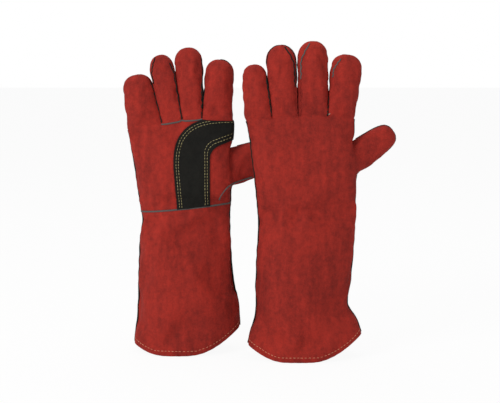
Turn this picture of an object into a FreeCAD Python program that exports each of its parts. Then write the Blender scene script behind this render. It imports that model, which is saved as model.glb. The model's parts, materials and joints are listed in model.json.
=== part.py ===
"""A pair of long-cuff welding gloves standing on their hems, the right one showing its palm.

Each glove is a gauntlet cuff, a hand and five digits, all sewn from leather panels over a sewn lining.
Frame: +Z up, the floor at Z = 0, X across the pair, -Y the side the pair is looked at from.
The palm of the right glove faces -Y and the palm of the left glove faces +Y.
"""
import FreeCAD, Part
import os

import Sketcher
from FreeCAD import Placement, Rotation, Vector

DOCUMENT = FreeCAD.newDocument("WeldingGloves")
SHEET = DOCUMENT.addObject("Spreadsheet::Sheet", "Sizes")

# Sizes that both gloves share, in millimetres.
SHARED = {
    "leather": 1.4,  # thickness of the split leather
    "lining": 1.6,  # thickness of the sewn-in lining
    "slip": 0.1,  # air between the leather and the lining, and under the patch
    "patch": 1.3,  # thickness of the reinforcement patch
    "welt": 1.6,  # thickness of the leather strip sewn into a seam
    "welt_proud": 1.5,  # how far a strip stands out of its seam
    "joint_gap": 0.4,  # air between two pieces that move apart
    "finger_gap": 1.8,  # air between neighbouring fingers at their roots
    "hem_inset": 4.0,  # how far above the hem the cuff lining ends
    "hem_radius": 115.0,  # radius of the rounded cut of the hem
    "hem_flat": 3.0,  # how deep the floor cuts into that rounding
    "seam_offset": 6.0,  # half the width of the strip along a finger's sides
    "corner_share": 0.35,  # rounding of a digit's edges as a share of its depth
    "root_reach": 6.0,  # how far the inside of a finger runs on below its root
    "thumb_reach": 45.0,  # how far the thumb's tube runs back into the hand
}

# Sizes that differ between the two, because each is puffed out in its own way.
# Places across are from the middle of the glove's own hem, and its lowest point, hem_low, is on the
# little finger's side of that. The hand stands on the wrist: hand_length
# reaches from there to the knuckles at the index finger's outer edge, thumb_rise to the middle of the
# thumb's root, and patch_notch to the corner that the patch turns round. patch_rise and hand_spare are
# how far the patch and the hand's walls run on above the knuckles before they are trimmed.
GLOVES = {
    "right": {
        "offset_x": -97.9, "offset_y": 17.0,
        "hem_width": 136.0, "hem_depth": 82.0, "hem_low": -14.0,
        "wrist_width": 117.0, "wrist_depth": 54.0, "wrist_middle": -1.6, "wrist_height": 191.6,
        "wrist_slope": 5.7,
        "knuckle_x": 59.5, "knuckle_depth": 31.0, "hand_length": 113.4, "hand_spare": 7.0,
        "thumb_plane": 60.0, "thumb_rise": 50.4, "thumb_back": 4.0,
        "patch_left": -15.5, "patch_right": 31.5, "patch_rise": 1.0, "patch_round": 46.0,
        "patch_notch": 70.4, "patch_notch_round": 9.0, "patch_slope": 22.0,
    },
    "left": {
        "offset_x": 55.6, "offset_y": -17.0,
        "hem_width": 142.0, "hem_depth": 82.0, "hem_low": -9.0,
        "wrist_width": 124.0, "wrist_depth": 50.0, "wrist_middle": 1.6, "wrist_height": 191.6,
        "wrist_slope": 5.7,
        "knuckle_x": 62.5, "knuckle_depth": 31.0, "hand_length": 115.9, "hand_spare": 11.5,
        "thumb_plane": 65.5, "thumb_rise": 70.4, "thumb_back": 5.0,
        "patch_left": -12.0, "patch_right": 36.0, "patch_rise": 1.5, "patch_round": 46.0,
        "patch_notch": 78.4, "patch_notch_round": 9.0, "patch_slope": 22.0,
    },
}

# Digits in order from the thumb's side: width of the root on the knuckle line, radius of the tip,
# length, depth through palm and back, and lean away from the thumb in degrees.
FINGERS = {
    "right": {
        "index": (38.5, 17.3, 79.5, 31.0, -3.7),
        "middle": (25.3, 17.2, 93.5, 30.5, 3.2),
        "ring": (25.3, 14.8, 88.0, 30.0, 11.4),
        "little": (44.5, 17.3, 68.5, 29.0, 10.5),
    },
    "left": {
        "index": (35.0, 19.4, 79.0, 31.0, -7.0),
        "middle": (38.3, 18.2, 95.5, 31.0, 0.0),
        "ring": (32.5, 18.0, 92.5, 30.0, 4.1),
        "little": (32.7, 14.2, 70.0, 28.0, 6.4),
    },
}
THUMBS = {
    "right": (50.0, 16.5, 64.0, 27.0, -71.0),
    "left": (37.0, 15.5, 63.0, 27.0, -55.0),
}
DIGIT_SIZES = ("width", "radius", "length", "depth", "lean")
ORIGIN, SKETCH_X, SKETCH_Y = (-1, 1), -1, -2
START, END, CENTRE = 1, 2, 3
BIG = 400.0


def fill_sheet():
    """Writes every driving size into the sheet, one named cell each."""
    sizes = dict(SHARED)
    for glove, values in GLOVES.items():
        sizes.update({f"{glove}_{name}": value for name, value in values.items()})
        digits = dict(FINGERS[glove], thumb=THUMBS[glove])
        for digit, row in digits.items():
            sizes.update({f"{glove}_{digit}_{name}": v for name, v in zip(DIGIT_SIZES, row)})
    for line, (name, value) in enumerate(sizes.items(), start=1):
        SHEET.set(f"A{line}", name)
        SHEET.set(f"B{line}", str(value))
        SHEET.setAlias(f"B{line}", name)
    DOCUMENT.recompute()


def bind(thing, **expressions):
    """Binds properties of an object to expressions; a double underscore stands for a dot."""
    for name, expression in expressions.items():
        thing.setExpression(name.replace("__", "."), expression)
    return thing


def size(name):
    """The cell of a driving size, as it is written in an expression."""
    return f"Sizes.{name}"


def above_wrist(glove, *names):
    """The height of something that stands on the wrist, as an expression."""
    return " + ".join(size(f"{glove}_{name}") for name in ("wrist_height", *names))


def knuckle_span(glove):
    """How far all four finger roots reach across the glove, as an expression."""
    keys = [f"{glove}_{digit}" for digit in FINGERS[glove]]
    return " + ".join(f"{size(key + '_width')} * cos({size(key + '_lean')})" for key in keys)


# ---------------------------------------------------------------- plain shapes


def box(label, low, high):
    """A box between two corners, each given as three expressions."""
    made = DOCUMENT.addObject("Part::Box", label)
    for place, side, a, b in zip("xyz", ("Length", "Width", "Height"), low, high):
        made.setExpression(f"Placement.Base.{place}", str(a))
        made.setExpression(side, f"({b}) - ({a})")
    return made


def combine(kind, label, base, tool):
    """A boolean of two objects: Cut, Common or Fuse."""
    made = DOCUMENT.addObject(f"Part::{kind}", label)
    made.Base, made.Tool = base, tool
    return made


def new_body(label):
    """An empty body, and its origin planes by their role."""
    body = DOCUMENT.addObject("PartDesign::Body", label)
    return body, {plane.Role: plane for plane in body.Origin.OriginFeatures}


def new_sketch(body, plane, name):
    """A sketch on one of the body's own origin planes."""
    sketch = body.newObject("Sketcher::SketchObject", name)
    sketch.AttachmentSupport = [(plane, "")]
    sketch.MapMode = "FlatFace"
    return sketch


def rule(sketch, expression, *constraint):
    """Adds a sized constraint and binds it to an expression."""
    index = sketch.addConstraint(Sketcher.Constraint(*constraint))
    sketch.setExpression(f"Constraints[{index}]", expression)


def tangent_ring(sketch, geometry):
    """Joins the pieces of a closed outline end to start, each tangent to the next."""
    for here, there in zip(geometry, geometry[1:] + geometry[:1]):
        sketch.addConstraint(Sketcher.Constraint("Tangent", here, END, there, START))


# ---------------------------------------------------------------- walls of cuff and hand


def stadium(body, plane, name, section, inset):
    """A sketch of a long oval, across X, at a height and with a slope of its plane.

    section holds expressions: middle, height, width, depth and slope.
    """
    middle, height, width, depth, slope = section
    sketch = new_sketch(body, plane, name)
    sketch.AttachmentOffset = Placement(Vector(0, 0, 1), Rotation(Vector(0, -1, 0), 1.0))
    bind(
        sketch,
        AttachmentOffset__Base__x=middle,
        AttachmentOffset__Base__z=height,
        AttachmentOffset__Rotation__Angle=slope,
    )
    reach, bulge = 30.0, 20.0
    front = sketch.addGeometry(Part.LineSegment(Vector(-reach, -bulge, 0), Vector(reach, -bulge, 0)))
    right = sketch.addGeometry(
        Part.ArcOfCircle(Part.Circle(Vector(reach, 0, 0), Vector(0, 0, 1), bulge), -1.5708, 1.5708)
    )
    back = sketch.addGeometry(Part.LineSegment(Vector(reach, bulge, 0), Vector(-reach, bulge, 0)))
    left = sketch.addGeometry(
        Part.ArcOfCircle(Part.Circle(Vector(-reach, 0, 0), Vector(0, 0, 1), bulge), 1.5708, 4.7124)
    )
    tangent_ring(sketch, [front, right, back, left])
    sketch.addConstraint(Sketcher.Constraint("Symmetric", right, CENTRE, left, CENTRE, *ORIGIN))
    sketch.addConstraint(Sketcher.Constraint("Horizontal", left, CENTRE, right, CENTRE))
    sketch.addConstraint(Sketcher.Constraint("Equal", left, right))
    rule(sketch, f"({depth}) / 2 - ({inset})", "Radius", right, bulge)
    rule(sketch, f"({width}) - ({depth})", "DistanceX", left, CENTRE, right, CENTRE, 2 * reach)
    return sketch


def wall_form(label, lower, upper, inset):
    """A solid between two long ovals, smaller all round by inset."""
    body, planes = new_body(label)
    sections = [
        stadium(body, planes["XY_Plane"], f"{label}_{end}", section, inset)
        for end, section in (("lower", lower), ("upper", upper))
    ]
    loft = body.newObject("PartDesign::AdditiveLoft", f"{label}_loft")
    loft.Profile, loft.Sections, loft.Ruled = sections[0], [sections[1]], True
    return body


def wall(label, lower, upper, outer_inset, inner_inset):
    """The material between two such forms, open at both ends."""
    outer = wall_form(f"{label}_outer", lower, upper, outer_inset)
    inner = wall_form(f"{label}_inner", lower, upper, inner_inset)
    return combine("Cut", label, outer, inner), outer, inner


# ---------------------------------------------------------------- digits


def digit_form(label, key, inset, reach):
    """A rounded tube closed at the tip, along local +Z from its root, smaller all round by inset."""
    body, planes = new_body(label)
    sketch = new_sketch(body, planes["XZ_Plane"], f"{label}_outline")
    half, top, low = 15.0, 60.0, -5.0
    root = sketch.addGeometry(Part.LineSegment(Vector(-half, low, 0), Vector(half, low, 0)))
    near = sketch.addGeometry(Part.LineSegment(Vector(half, low, 0), Vector(half, top, 0)))
    tip = sketch.addGeometry(
        Part.ArcOfCircle(Part.Circle(Vector(0, top, 0), Vector(0, 0, 1), half), 0.0, 3.1416)
    )
    far = sketch.addGeometry(Part.LineSegment(Vector(-half, top, 0), Vector(-half, low, 0)))
    sketch.addConstraint(Sketcher.Constraint("Coincident", root, END, near, START))
    sketch.addConstraint(Sketcher.Constraint("Coincident", far, END, root, START))
    sketch.addConstraint(Sketcher.Constraint("Tangent", near, END, tip, START))
    sketch.addConstraint(Sketcher.Constraint("Tangent", tip, END, far, START))
    sketch.addConstraint(Sketcher.Constraint("Symmetric", root, START, root, END, SKETCH_Y))
    sketch.addConstraint(Sketcher.Constraint("PointOnObject", tip, CENTRE, SKETCH_Y))
    width, radius, length, depth = (size(f"{key}_{name}") for name in DIGIT_SIZES[:4])
    rule(sketch, f"{radius} - ({inset})", "Radius", tip, half)
    rule(sketch, f"{length} - {radius}", "DistanceY", *ORIGIN, tip, CENTRE, top)
    rule(sketch, reach, "DistanceY", root, START, *ORIGIN, -low)
    free = f"({width} - {size('finger_gap')})"
    flare = f"(2 * {radius} - {free}) * ({reach}) / ({length} - {radius})"
    rule(sketch, f"{free} - {flare} - 2 * ({inset})", "DistanceX", root, START, root, END, 2 * half)
    pad = body.newObject("PartDesign::Pad", f"{label}_pad")
    pad.Profile, pad.SideType = sketch, "Symmetric"
    bind(pad, Length=f"{depth} - 2 * ({inset})")
    DOCUMENT.recompute()
    rounding = body.newObject("PartDesign::Fillet", f"{label}_rounding")
    rounding.Base = (pad, long_edges(pad.Shape))
    bind(rounding, Radius=f"{depth} * {size('corner_share')} - ({inset})")
    return body


def long_edges(shape):
    """Names of the edges round the two broad faces of a padded outline, without those at the root."""
    limits = shape.BoundBox
    names = []
    for number, edge in enumerate(shape.Edges, start=1):
        reach = edge.BoundBox
        flat = reach.YLength < 1e-6 and min(abs(reach.YMin - limits.YMin), abs(reach.YMax - limits.YMax)) < 1e-6
        if flat and reach.ZMax - limits.ZMin > 1e-6:
            names.append(f"Edge{number}")
    return names


def digit_layers(label, key, reach):
    """The leather wall and the lining wall of a digit, with the forms they were cut from."""
    total = f"({size('leather')} + {size('slip')})"
    insets = ("0", size("leather"), total, f"({total} + {size('lining')})")
    forms = [
        digit_form(f"{label}_form{number}", key, inset, reach)
        for number, inset in enumerate(insets, start=1)
    ]
    leather = combine("Cut", f"{label}_leather", forms[0], forms[1])
    lining = combine("Cut", f"{label}_felt", forms[2], forms[3])
    return leather, lining, forms


def lean_chain(glove, digit):
    """Expressions for the middle of a finger's root on the knuckle line."""
    across, up = size(f"{glove}_knuckle_x"), above_wrist(glove, "hand_length")
    for name in FINGERS[glove]:
        width, lean = size(f"{glove}_{name}_width"), size(f"{glove}_{name}_lean")
        share = 0.5 if name == digit else 1.0
        across += f" - {share} * {width} * cos({lean})"
        up += f" - {share} * {width} * sin({lean})"
        if name == digit:
            return across, up
    raise ValueError(digit)


def add_fingers(glove, palm):
    """The four fingers of a glove; palm is -1 where the palm faces -Y. Returns node name to object."""
    nodes = {}
    offset = size("seam_offset")
    for digit in FINGERS[glove]:
        key = f"{glove}_{digit}"
        leather, lining, _ = digit_layers(key, key, size("root_reach"))
        front, back = (-BIG, f"-{offset}"), (offset, BIG)
        sides = {
            "palm_panel": front if palm < 0 else back,
            "back_panel": back if palm < 0 else front,
            "fourchette": (f"-{offset}", offset),
        }
        for name, (low, high) in sides.items():
            region = box(f"{key}_{name}_region", (-BIG, low, 0), (BIG, high, BIG))
            nodes[f"{key}_{name}"] = combine("Common", f"{key}_{name}_shape", leather, region)
        region = box(f"{key}_lining_region", (-BIG, -BIG, 0), (BIG, BIG, BIG))
        nodes[f"{key}_lining"] = combine("Common", f"{key}_lining_shape", lining, region)
        across, up = lean_chain(glove, digit)
        lean, gap = size(f"{key}_lean"), size("joint_gap")
        for name in (*sides, "lining"):
            node = nodes[f"{key}_{name}"]
            node.Placement = Placement(Vector(), Rotation(Vector(0, 1, 0), 1.0))
            bind(
                node,
                Placement__Base__x=f"{size(glove + '_offset_x')} + {across} - {gap} * sin({lean})",
                Placement__Base__y=size(f"{glove}_offset_y"),
                Placement__Base__z=f"{up} + {gap} * cos({lean})",
                Placement__Rotation__Angle=f"-{lean}",
            )
    return nodes


# ---------------------------------------------------------------- outlines across the glove


def knuckle_outline(glove):
    """A thick plate under the knuckle line, one straight stretch square to each finger."""
    label = f"{glove}_knuckle_outline"
    body, planes = new_body(label)
    sketch = new_sketch(body, planes["XZ_Plane"], f"{label}_sketch")
    far, low = 200.0, -50.0
    names = list(FINGERS[glove])
    points = [Vector(far, 300, 0), Vector(60, 300, 0)]
    points += [Vector(60 - 33.0 * (k + 1), 300 - k, 0) for k in range(len(names))]
    points += [Vector(-far, 290, 0), Vector(-far, low, 0), Vector(far, low, 0)]
    lines = [
        sketch.addGeometry(Part.LineSegment(a, b)) for a, b in zip(points, points[1:] + points[:1])
    ]
    for here, there in zip(lines, lines[1:] + lines[:1]):
        sketch.addConstraint(Sketcher.Constraint("Coincident", here, END, there, START))
    shoulder, *facets, beyond, side, floor, rise = lines
    sketch.addConstraint(Sketcher.Constraint("Vertical", side))
    sketch.addConstraint(Sketcher.Constraint("Horizontal", floor))
    sketch.addConstraint(Sketcher.Constraint("Vertical", rise))
    sketch.addConstraint(Sketcher.Constraint("Parallel", shoulder, facets[0]))
    sketch.addConstraint(Sketcher.Constraint("Parallel", beyond, facets[-1]))
    for facet, digit in zip(facets, names):
        key = f"{glove}_{digit}"
        width, lean = size(f"{key}_width"), size(f"{key}_lean")
        rule(sketch, f"{width} * cos({lean})", "DistanceX", facet, END, facet, START, 33.0)
        index = sketch.addConstraint(Sketcher.Constraint("Angle", facet, 3.1416))
        sketch.setExpression(f"Constraints[{index}]", f"180 + {lean}")
    rule(sketch, size(f"{glove}_knuckle_x"), "DistanceX", *ORIGIN, facets[0], START, 60.0)
    rule(sketch, above_wrist(glove, "hand_length"), "DistanceY", *ORIGIN, facets[0], START, 300.0)
    rule(sketch, f"{far}", "DistanceX", *ORIGIN, rise, START, far)
    rule(sketch, f"{far}", "DistanceX", side, START, *ORIGIN, far)
    rule(sketch, f"{-low}", "DistanceY", floor, START, *ORIGIN, -low)
    pad = body.newObject("PartDesign::Pad", f"{label}_pad")
    pad.Profile, pad.SideType, pad.Length = sketch, "Symmetric", BIG
    return body


def patch_outline(glove):
    """A thick plate with the outline of the patch: down the palm, and over to the index finger's root."""
    label = f"{glove}_patch_outline"
    body, planes = new_body(label)
    sketch = new_sketch(body, planes["XZ_Plane"], f"{label}_sketch")
    far, low = 150.0, 100.0
    turn, small = 46.0, 9.0
    quarter = 1.5708
    left, right, top, notch = -15.0, 32.0, 306.0, 262.0
    up = sketch.addGeometry(Part.LineSegment(Vector(left, low, 0), Vector(left, top - turn, 0)))
    outer = sketch.addGeometry(
        Part.ArcOfCircle(
            Part.Circle(Vector(left + turn, top - turn, 0), Vector(0, 0, 1), turn), quarter, 2 * quarter
        )
    )
    over = sketch.addGeometry(Part.LineSegment(Vector(left + turn, top, 0), Vector(far, top, 0)))
    end = sketch.addGeometry(Part.LineSegment(Vector(far, top, 0), Vector(far, notch + 40, 0)))
    under = sketch.addGeometry(Part.LineSegment(Vector(far, notch + 40, 0), Vector(right + small, notch, 0)))
    inner = sketch.addGeometry(
        Part.ArcOfCircle(
            Part.Circle(Vector(right + small, notch - small, 0), Vector(0, 0, 1), small),
            quarter + 0.38,
            2 * quarter,
        )
    )
    down = sketch.addGeometry(Part.LineSegment(Vector(right, notch - small, 0), Vector(right, low, 0)))
    foot = sketch.addGeometry(Part.LineSegment(Vector(right, low, 0), Vector(left, low, 0)))
    for here, there in ((over, end), (end, under), (down, foot), (foot, up)):
        sketch.addConstraint(Sketcher.Constraint("Coincident", here, END, there, START))
    sketch.addConstraint(Sketcher.Constraint("Tangent", up, END, outer, END))
    sketch.addConstraint(Sketcher.Constraint("Tangent", outer, START, over, START))
    sketch.addConstraint(Sketcher.Constraint("Tangent", under, END, inner, START))
    sketch.addConstraint(Sketcher.Constraint("Tangent", inner, END, down, START))
    for line, way in ((up, "Vertical"), (over, "Horizontal"), (end, "Vertical"), (down, "Vertical")):
        sketch.addConstraint(Sketcher.Constraint(way, line))
    sketch.addConstraint(Sketcher.Constraint("Horizontal", foot))
    cell = {name: size(f"{glove}_{name}") for name in GLOVES[glove]}
    rule(sketch, cell["patch_round"], "Radius", outer, turn)
    rule(sketch, cell["patch_notch_round"], "Radius", inner, small)
    rule(sketch, f"-{cell['patch_left']}", "DistanceX", up, START, *ORIGIN, -left)
    rule(sketch, cell["patch_right"], "DistanceX", *ORIGIN, down, END, right)
    rule(sketch, above_wrist(glove, "hand_length", "patch_rise"), "DistanceY", *ORIGIN, over, START, top)
    rule(sketch, f"{low}", "DistanceY", *ORIGIN, foot, START, low)
    rule(sketch, f"{far}", "DistanceX", *ORIGIN, over, END, far)
    rule(sketch, above_wrist(glove, "patch_notch"), "DistanceY", *ORIGIN, inner, END, notch - small)
    index = sketch.addConstraint(Sketcher.Constraint("Angle", under, -2.76))
    sketch.setExpression(f"Constraints[{index}]", f"{cell['patch_slope']} - 180")
    pad = body.newObject("PartDesign::Pad", f"{label}_pad")
    pad.Profile, pad.SideType, pad.Length = sketch, "Symmetric", BIG
    return body


# ---------------------------------------------------------------- cuff, hand and thumb


def sections_of(glove):
    """The long ovals of the hem, the wrist seam and the knuckles, and the cuff's own top."""
    cell = {name: size(f"{glove}_{name}") for name in GLOVES[glove]}
    hem = ("0", "0", cell["hem_width"], cell["hem_depth"], "0")
    wrist = tuple(cell[f"wrist_{name}"] for name in ("middle", "height", "width", "depth", "slope"))
    below = (wrist[0], f"{wrist[1]} - {size('joint_gap')}", *wrist[2:])
    span, top = knuckle_span(glove), above_wrist(glove, "hand_length", "hand_spare")
    knuckle = (f"{cell['knuckle_x']} - ({span}) / 2", top, span, cell["knuckle_depth"], "0")
    return hem, below, wrist, knuckle


def insets():
    """How far each layer lies inside the leather's outer face, as expressions."""
    inner = f"({size('leather')} + {size('slip')})"
    return {
        "proud": f"-{size('welt_proud')}",
        "patch": f"-({size('patch')} + {size('slip')})",
        "patch_back": f"-{size('slip')}",
        "outer": "0",
        "leather": size("leather"),
        "lining": inner,
        "hollow": f"({inner} + {size('lining')})",
    }


def halves(palm):
    """Regions of the palm half, the back half and the seam between them, as lowest and highest Y."""
    edge = f"{size('welt')} / 2"
    front, back = (f"-{BIG}", f"-{edge}"), (edge, f"{BIG}")
    return {
        "palm": front if palm < 0 else back,
        "back": back if palm < 0 else front,
        "seam": (f"-{edge}", edge),
    }


def slab(label, limits):
    """A region between two planes square to Y."""
    return box(label, (-BIG, limits[0], -BIG), (BIG, limits[1], BIG))


def hem_cut(glove, name, inset):
    """A cylinder along Y whose underside is the hem's curve, raised by inset."""
    cutter = DOCUMENT.addObject("Part::Cylinder", f"{glove}_gauntlet_{name}_hem_cut")
    cutter.Placement = Placement(Vector(), Rotation(Vector(1, 0, 0), 90))
    radius = size("hem_radius")
    return bind(
        cutter,
        Radius=radius,
        Height=f"{BIG}",
        Placement__Base__x=size(f"{glove}_hem_low"),
        Placement__Base__y=f"{BIG} / 2",
        Placement__Base__z=f"{radius} - {size('hem_flat')} + {inset}",
    )


def add_cuff(glove, palm):
    """The gauntlet cuff below the wrist seam. Returns node name to object."""
    hem, below, _, _ = sections_of(glove)
    layer, half = insets(), halves(palm)
    key = f"{glove}_gauntlet"
    edge, lining_edge = hem_cut(glove, "outer", "0"), hem_cut(glove, "inner", size("hem_inset"))
    leather, _, _ = wall(f"{key}_wall", hem, below, layer["outer"], layer["leather"])
    leather = combine("Common", f"{key}_cut_wall", leather, edge)
    lining, _, _ = wall(f"{key}_felt", hem, below, layer["lining"], layer["hollow"])
    strips, _, _ = wall(f"{key}_strips", hem, below, layer["proud"], layer["leather"])
    strips = combine("Common", f"{key}_cut_strips", strips, edge)

    band = DOCUMENT.addObject("Part::Box", f"{key}_wrist_band")
    band.Placement = Placement(Vector(), Rotation(Vector(0, -1, 0), 1.0))
    slope, welt = size(f"{glove}_wrist_slope"), size("welt")
    bind(
        band,
        Length=f"{2 * BIG}",
        Width=f"{2 * BIG}",
        Height=f"{BIG}",
        Placement__Rotation__Angle=slope,
        Placement__Base__x=f"{below[0]} - {BIG} * cos({slope}) + {welt} * sin({slope})",
        Placement__Base__y=f"-{BIG}",
        Placement__Base__z=f"{below[1]} - {BIG} * sin({slope}) - {welt} * cos({slope})",
    )
    palm_half = slab(f"{key}_palm_half", half["palm"])
    panel = combine("Common", f"{key}_palm_wall", leather, palm_half)
    seam_strip = combine("Common", f"{key}_wrist_strip", strips, palm_half)
    return {
        f"{key}_palm_panel": combine("Cut", f"{key}_palm_shape", panel, band),
        f"{key}_back_panel": combine("Common", f"{key}_back_shape", leather, slab(f"{key}_back_half", half["back"])),
        f"{key}_lining": combine("Common", f"{key}_lining_shape", lining, lining_edge),
        f"{key}_side_welts": combine("Common", f"{key}_welt_shape", strips, slab(f"{key}_seam", half["seam"])),
        f"{glove}_wrist_welt": combine("Common", f"{key}_wrist_welt_shape", seam_strip, band),
    }


def add_hand(glove, palm):
    """The hand above the wrist seam, with the thumb. Returns node name to object."""
    _, _, wrist, knuckle = sections_of(glove)
    layer, half = insets(), halves(palm)
    key = f"{glove}_hand"
    outline = knuckle_outline(glove)

    thumb_key = f"{glove}_thumb"
    thumb_leather, thumb_felt, thumb_forms = digit_layers(thumb_key, thumb_key, size("thumb_reach"))
    place_thumb(glove, thumb_key, thumb_forms)
    plane = size(f"{glove}_thumb_plane")

    leather, _, cavity = wall(f"{key}_wall", wrist, knuckle, layer["outer"], layer["leather"])
    leather = combine("Common", f"{key}_cut_wall", leather, outline)
    leather = combine("Cut", f"{key}_open_wall", leather, thumb_forms[0])
    lining, _, _ = wall(f"{key}_felt", wrist, knuckle, layer["lining"], layer["hollow"])
    lining = combine("Common", f"{key}_cut_felt", lining, outline)
    strips, _, _ = wall(f"{key}_strips", wrist, knuckle, layer["proud"], layer["leather"])
    strips = combine("Common", f"{key}_cut_strips", strips, outline)
    strips = combine("Cut", f"{key}_open_strips", strips, thumb_forms[0])
    pad, _, _ = wall(f"{key}_pad", wrist, knuckle, layer["patch"], layer["patch_back"])
    pad = combine("Common", f"{key}_cut_pad", pad, outline)
    pad = combine("Common", f"{key}_shaped_pad", pad, patch_outline(glove))
    pad = combine("Cut", f"{key}_open_pad", pad, thumb_forms[0])

    gap = size("joint_gap")
    inside = box(f"{thumb_key}_inside", (-BIG, -BIG, -BIG), (plane, BIG, BIG))
    root_tube = combine("Cut", f"{thumb_key}_root_tube", thumb_forms[0], thumb_forms[3])
    root_tube = combine("Common", f"{thumb_key}_root", root_tube, inside)
    middle = size(f"{glove}_thumb_back")
    towards = {
        "palm": (-BIG, middle) if palm < 0 else (middle, BIG),
        "back": (middle, BIG) if palm < 0 else (-BIG, middle),
        "all": (-BIG, BIG),
    }
    outside = {
        name: box(f"{thumb_key}_{name}_side", (f"{plane} + {gap}", low, 0), (BIG, high, BIG))
        for name, (low, high) in towards.items()
    }
    return {
        f"{glove}_palm_panel": combine("Common", f"{key}_palm_shape", leather, slab(f"{key}_palm_half", half["palm"])),
        f"{glove}_back_panel": combine("Common", f"{key}_back_shape", leather, slab(f"{key}_back_half", half["back"])),
        f"{glove}_hand_lining": combine("Cut", f"{key}_lining_shape", lining, thumb_forms[0]),
        f"{glove}_hand_side_welts": combine("Common", f"{key}_welt_shape", strips, slab(f"{key}_seam", half["seam"])),
        f"{glove}_reinforcement_patch": combine(
            "Common", f"{key}_patch_shape", pad, slab(f"{key}_patch_half", half["palm"])
        ),
        f"{glove}_thumb_gusset": combine("Cut", f"{thumb_key}_gusset_shape", root_tube, cavity),
        f"{glove}_thumb_palm_panel": combine("Common", f"{thumb_key}_palm_shape", thumb_leather, outside["palm"]),
        f"{glove}_thumb_back_panel": combine("Common", f"{thumb_key}_back_shape", thumb_leather, outside["back"]),
        f"{glove}_thumb_lining": combine("Common", f"{thumb_key}_lining_shape", thumb_felt, outside["all"]),
    }


def place_thumb(glove, key, forms):
    """Turns the thumb's forms to point out of the side of the hand, their root at the thumb plane."""
    for form in forms:
        form.Placement = Placement(Vector(), Rotation(Vector(0, 1, 0), 1.0))
        bind(
            form,
            Placement__Base__x=size(f"{glove}_thumb_plane"),
            Placement__Base__y=size(f"{glove}_thumb_back"),
            Placement__Base__z=above_wrist(glove, "thumb_rise"),
            Placement__Rotation__Angle=f"-{size(key + '_lean')}",
        )


def move_to_place(glove, nodes):
    """Moves finished pieces from the glove's own frame to where the glove stands."""
    for node in nodes.values():
        bind(
            node,
            Placement__Base__x=size(f"{glove}_offset_x"),
            Placement__Base__y=size(f"{glove}_offset_y"),
        )


# ---------------------------------------------------------------- build, check and write


def build():
    """Builds both gloves and returns node name to object."""
    fill_sheet()
    nodes = {}
    for glove, palm in (("right", -1), ("left", 1)):
        fixed = {**add_cuff(glove, palm), **add_hand(glove, palm)}
        move_to_place(glove, fixed)
        nodes.update(fixed)
        nodes.update(add_fingers(glove, palm))
    for name, node in nodes.items():
        node.Label = name
    DOCUMENT.recompute()
    return nodes


def check(nodes):
    """Stops unless every object of the document and every node's shape is sound."""
    for thing in DOCUMENT.Objects:
        if {"Invalid", "Error"} & set(thing.State):
            raise RuntimeError(f"{thing.Label} failed: {thing.State}")
    for name, node in nodes.items():
        if node.Shape.isNull() or not node.Shape.isValid() or not node.Shape.Solids:
            raise RuntimeError(f"{name} has no sound shape")


def write(nodes):
    """Writes one STEP file for each node."""
    os.makedirs("parts", exist_ok=True)
    for name, node in nodes.items():
        node.Shape.exportStep(f"parts/{name}.step")
        limits = node.Shape.BoundBox
        print(
            f"{name:30s} solids {len(node.Shape.Solids)}  volume {node.Shape.Volume / 1000:7.2f} cm3  "
            f"x {limits.XMin:7.1f} {limits.XMax:7.1f}  y {limits.YMin:6.1f} {limits.YMax:6.1f}  "
            f"z {limits.ZMin:6.1f} {limits.ZMax:6.1f}"
        )


if __name__ == "__main__":
    NODES = build()
    check(NODES)
    write(NODES)
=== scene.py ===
"""A pair of long-cuff welding gloves in red split leather, standing on their hems.

Each glove is modelled as one closed sleeve of leather that starts as a grid and is drawn up ring by ring
into cuff, hand, fingers and thumb. A short cloth simulation puffs it out between its seams. It is then cut
along those seams into its leather panels, and gets its lining, welts, palm patch and stitches.
"""
from __future__ import annotations

import json
import logging
import math
from dataclasses import dataclass, replace
from enum import Enum
from typing import Callable, Iterable, Sequence

import bmesh
import bpy
from mathutils import Matrix, Vector
from mathutils.bvhtree import BVHTree


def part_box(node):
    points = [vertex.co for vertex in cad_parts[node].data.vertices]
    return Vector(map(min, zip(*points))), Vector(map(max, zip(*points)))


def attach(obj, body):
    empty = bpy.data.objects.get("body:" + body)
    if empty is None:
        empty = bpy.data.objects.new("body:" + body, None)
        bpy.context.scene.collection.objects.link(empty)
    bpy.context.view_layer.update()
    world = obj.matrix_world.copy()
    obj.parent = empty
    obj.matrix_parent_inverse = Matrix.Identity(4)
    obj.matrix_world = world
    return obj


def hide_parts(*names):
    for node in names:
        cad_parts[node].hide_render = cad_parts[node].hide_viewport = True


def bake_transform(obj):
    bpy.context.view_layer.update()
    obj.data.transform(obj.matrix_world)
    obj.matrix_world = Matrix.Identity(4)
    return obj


LOG = logging.getLogger("gloves")
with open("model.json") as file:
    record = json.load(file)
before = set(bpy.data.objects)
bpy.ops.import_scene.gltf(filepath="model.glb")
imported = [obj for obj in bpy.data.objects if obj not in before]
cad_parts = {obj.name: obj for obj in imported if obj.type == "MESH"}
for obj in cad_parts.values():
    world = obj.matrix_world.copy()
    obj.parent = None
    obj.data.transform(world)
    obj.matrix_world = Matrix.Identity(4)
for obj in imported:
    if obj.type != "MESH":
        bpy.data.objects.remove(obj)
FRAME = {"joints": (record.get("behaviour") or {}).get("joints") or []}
Colour = tuple[float, float, float, float]
MM = 0.001

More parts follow.
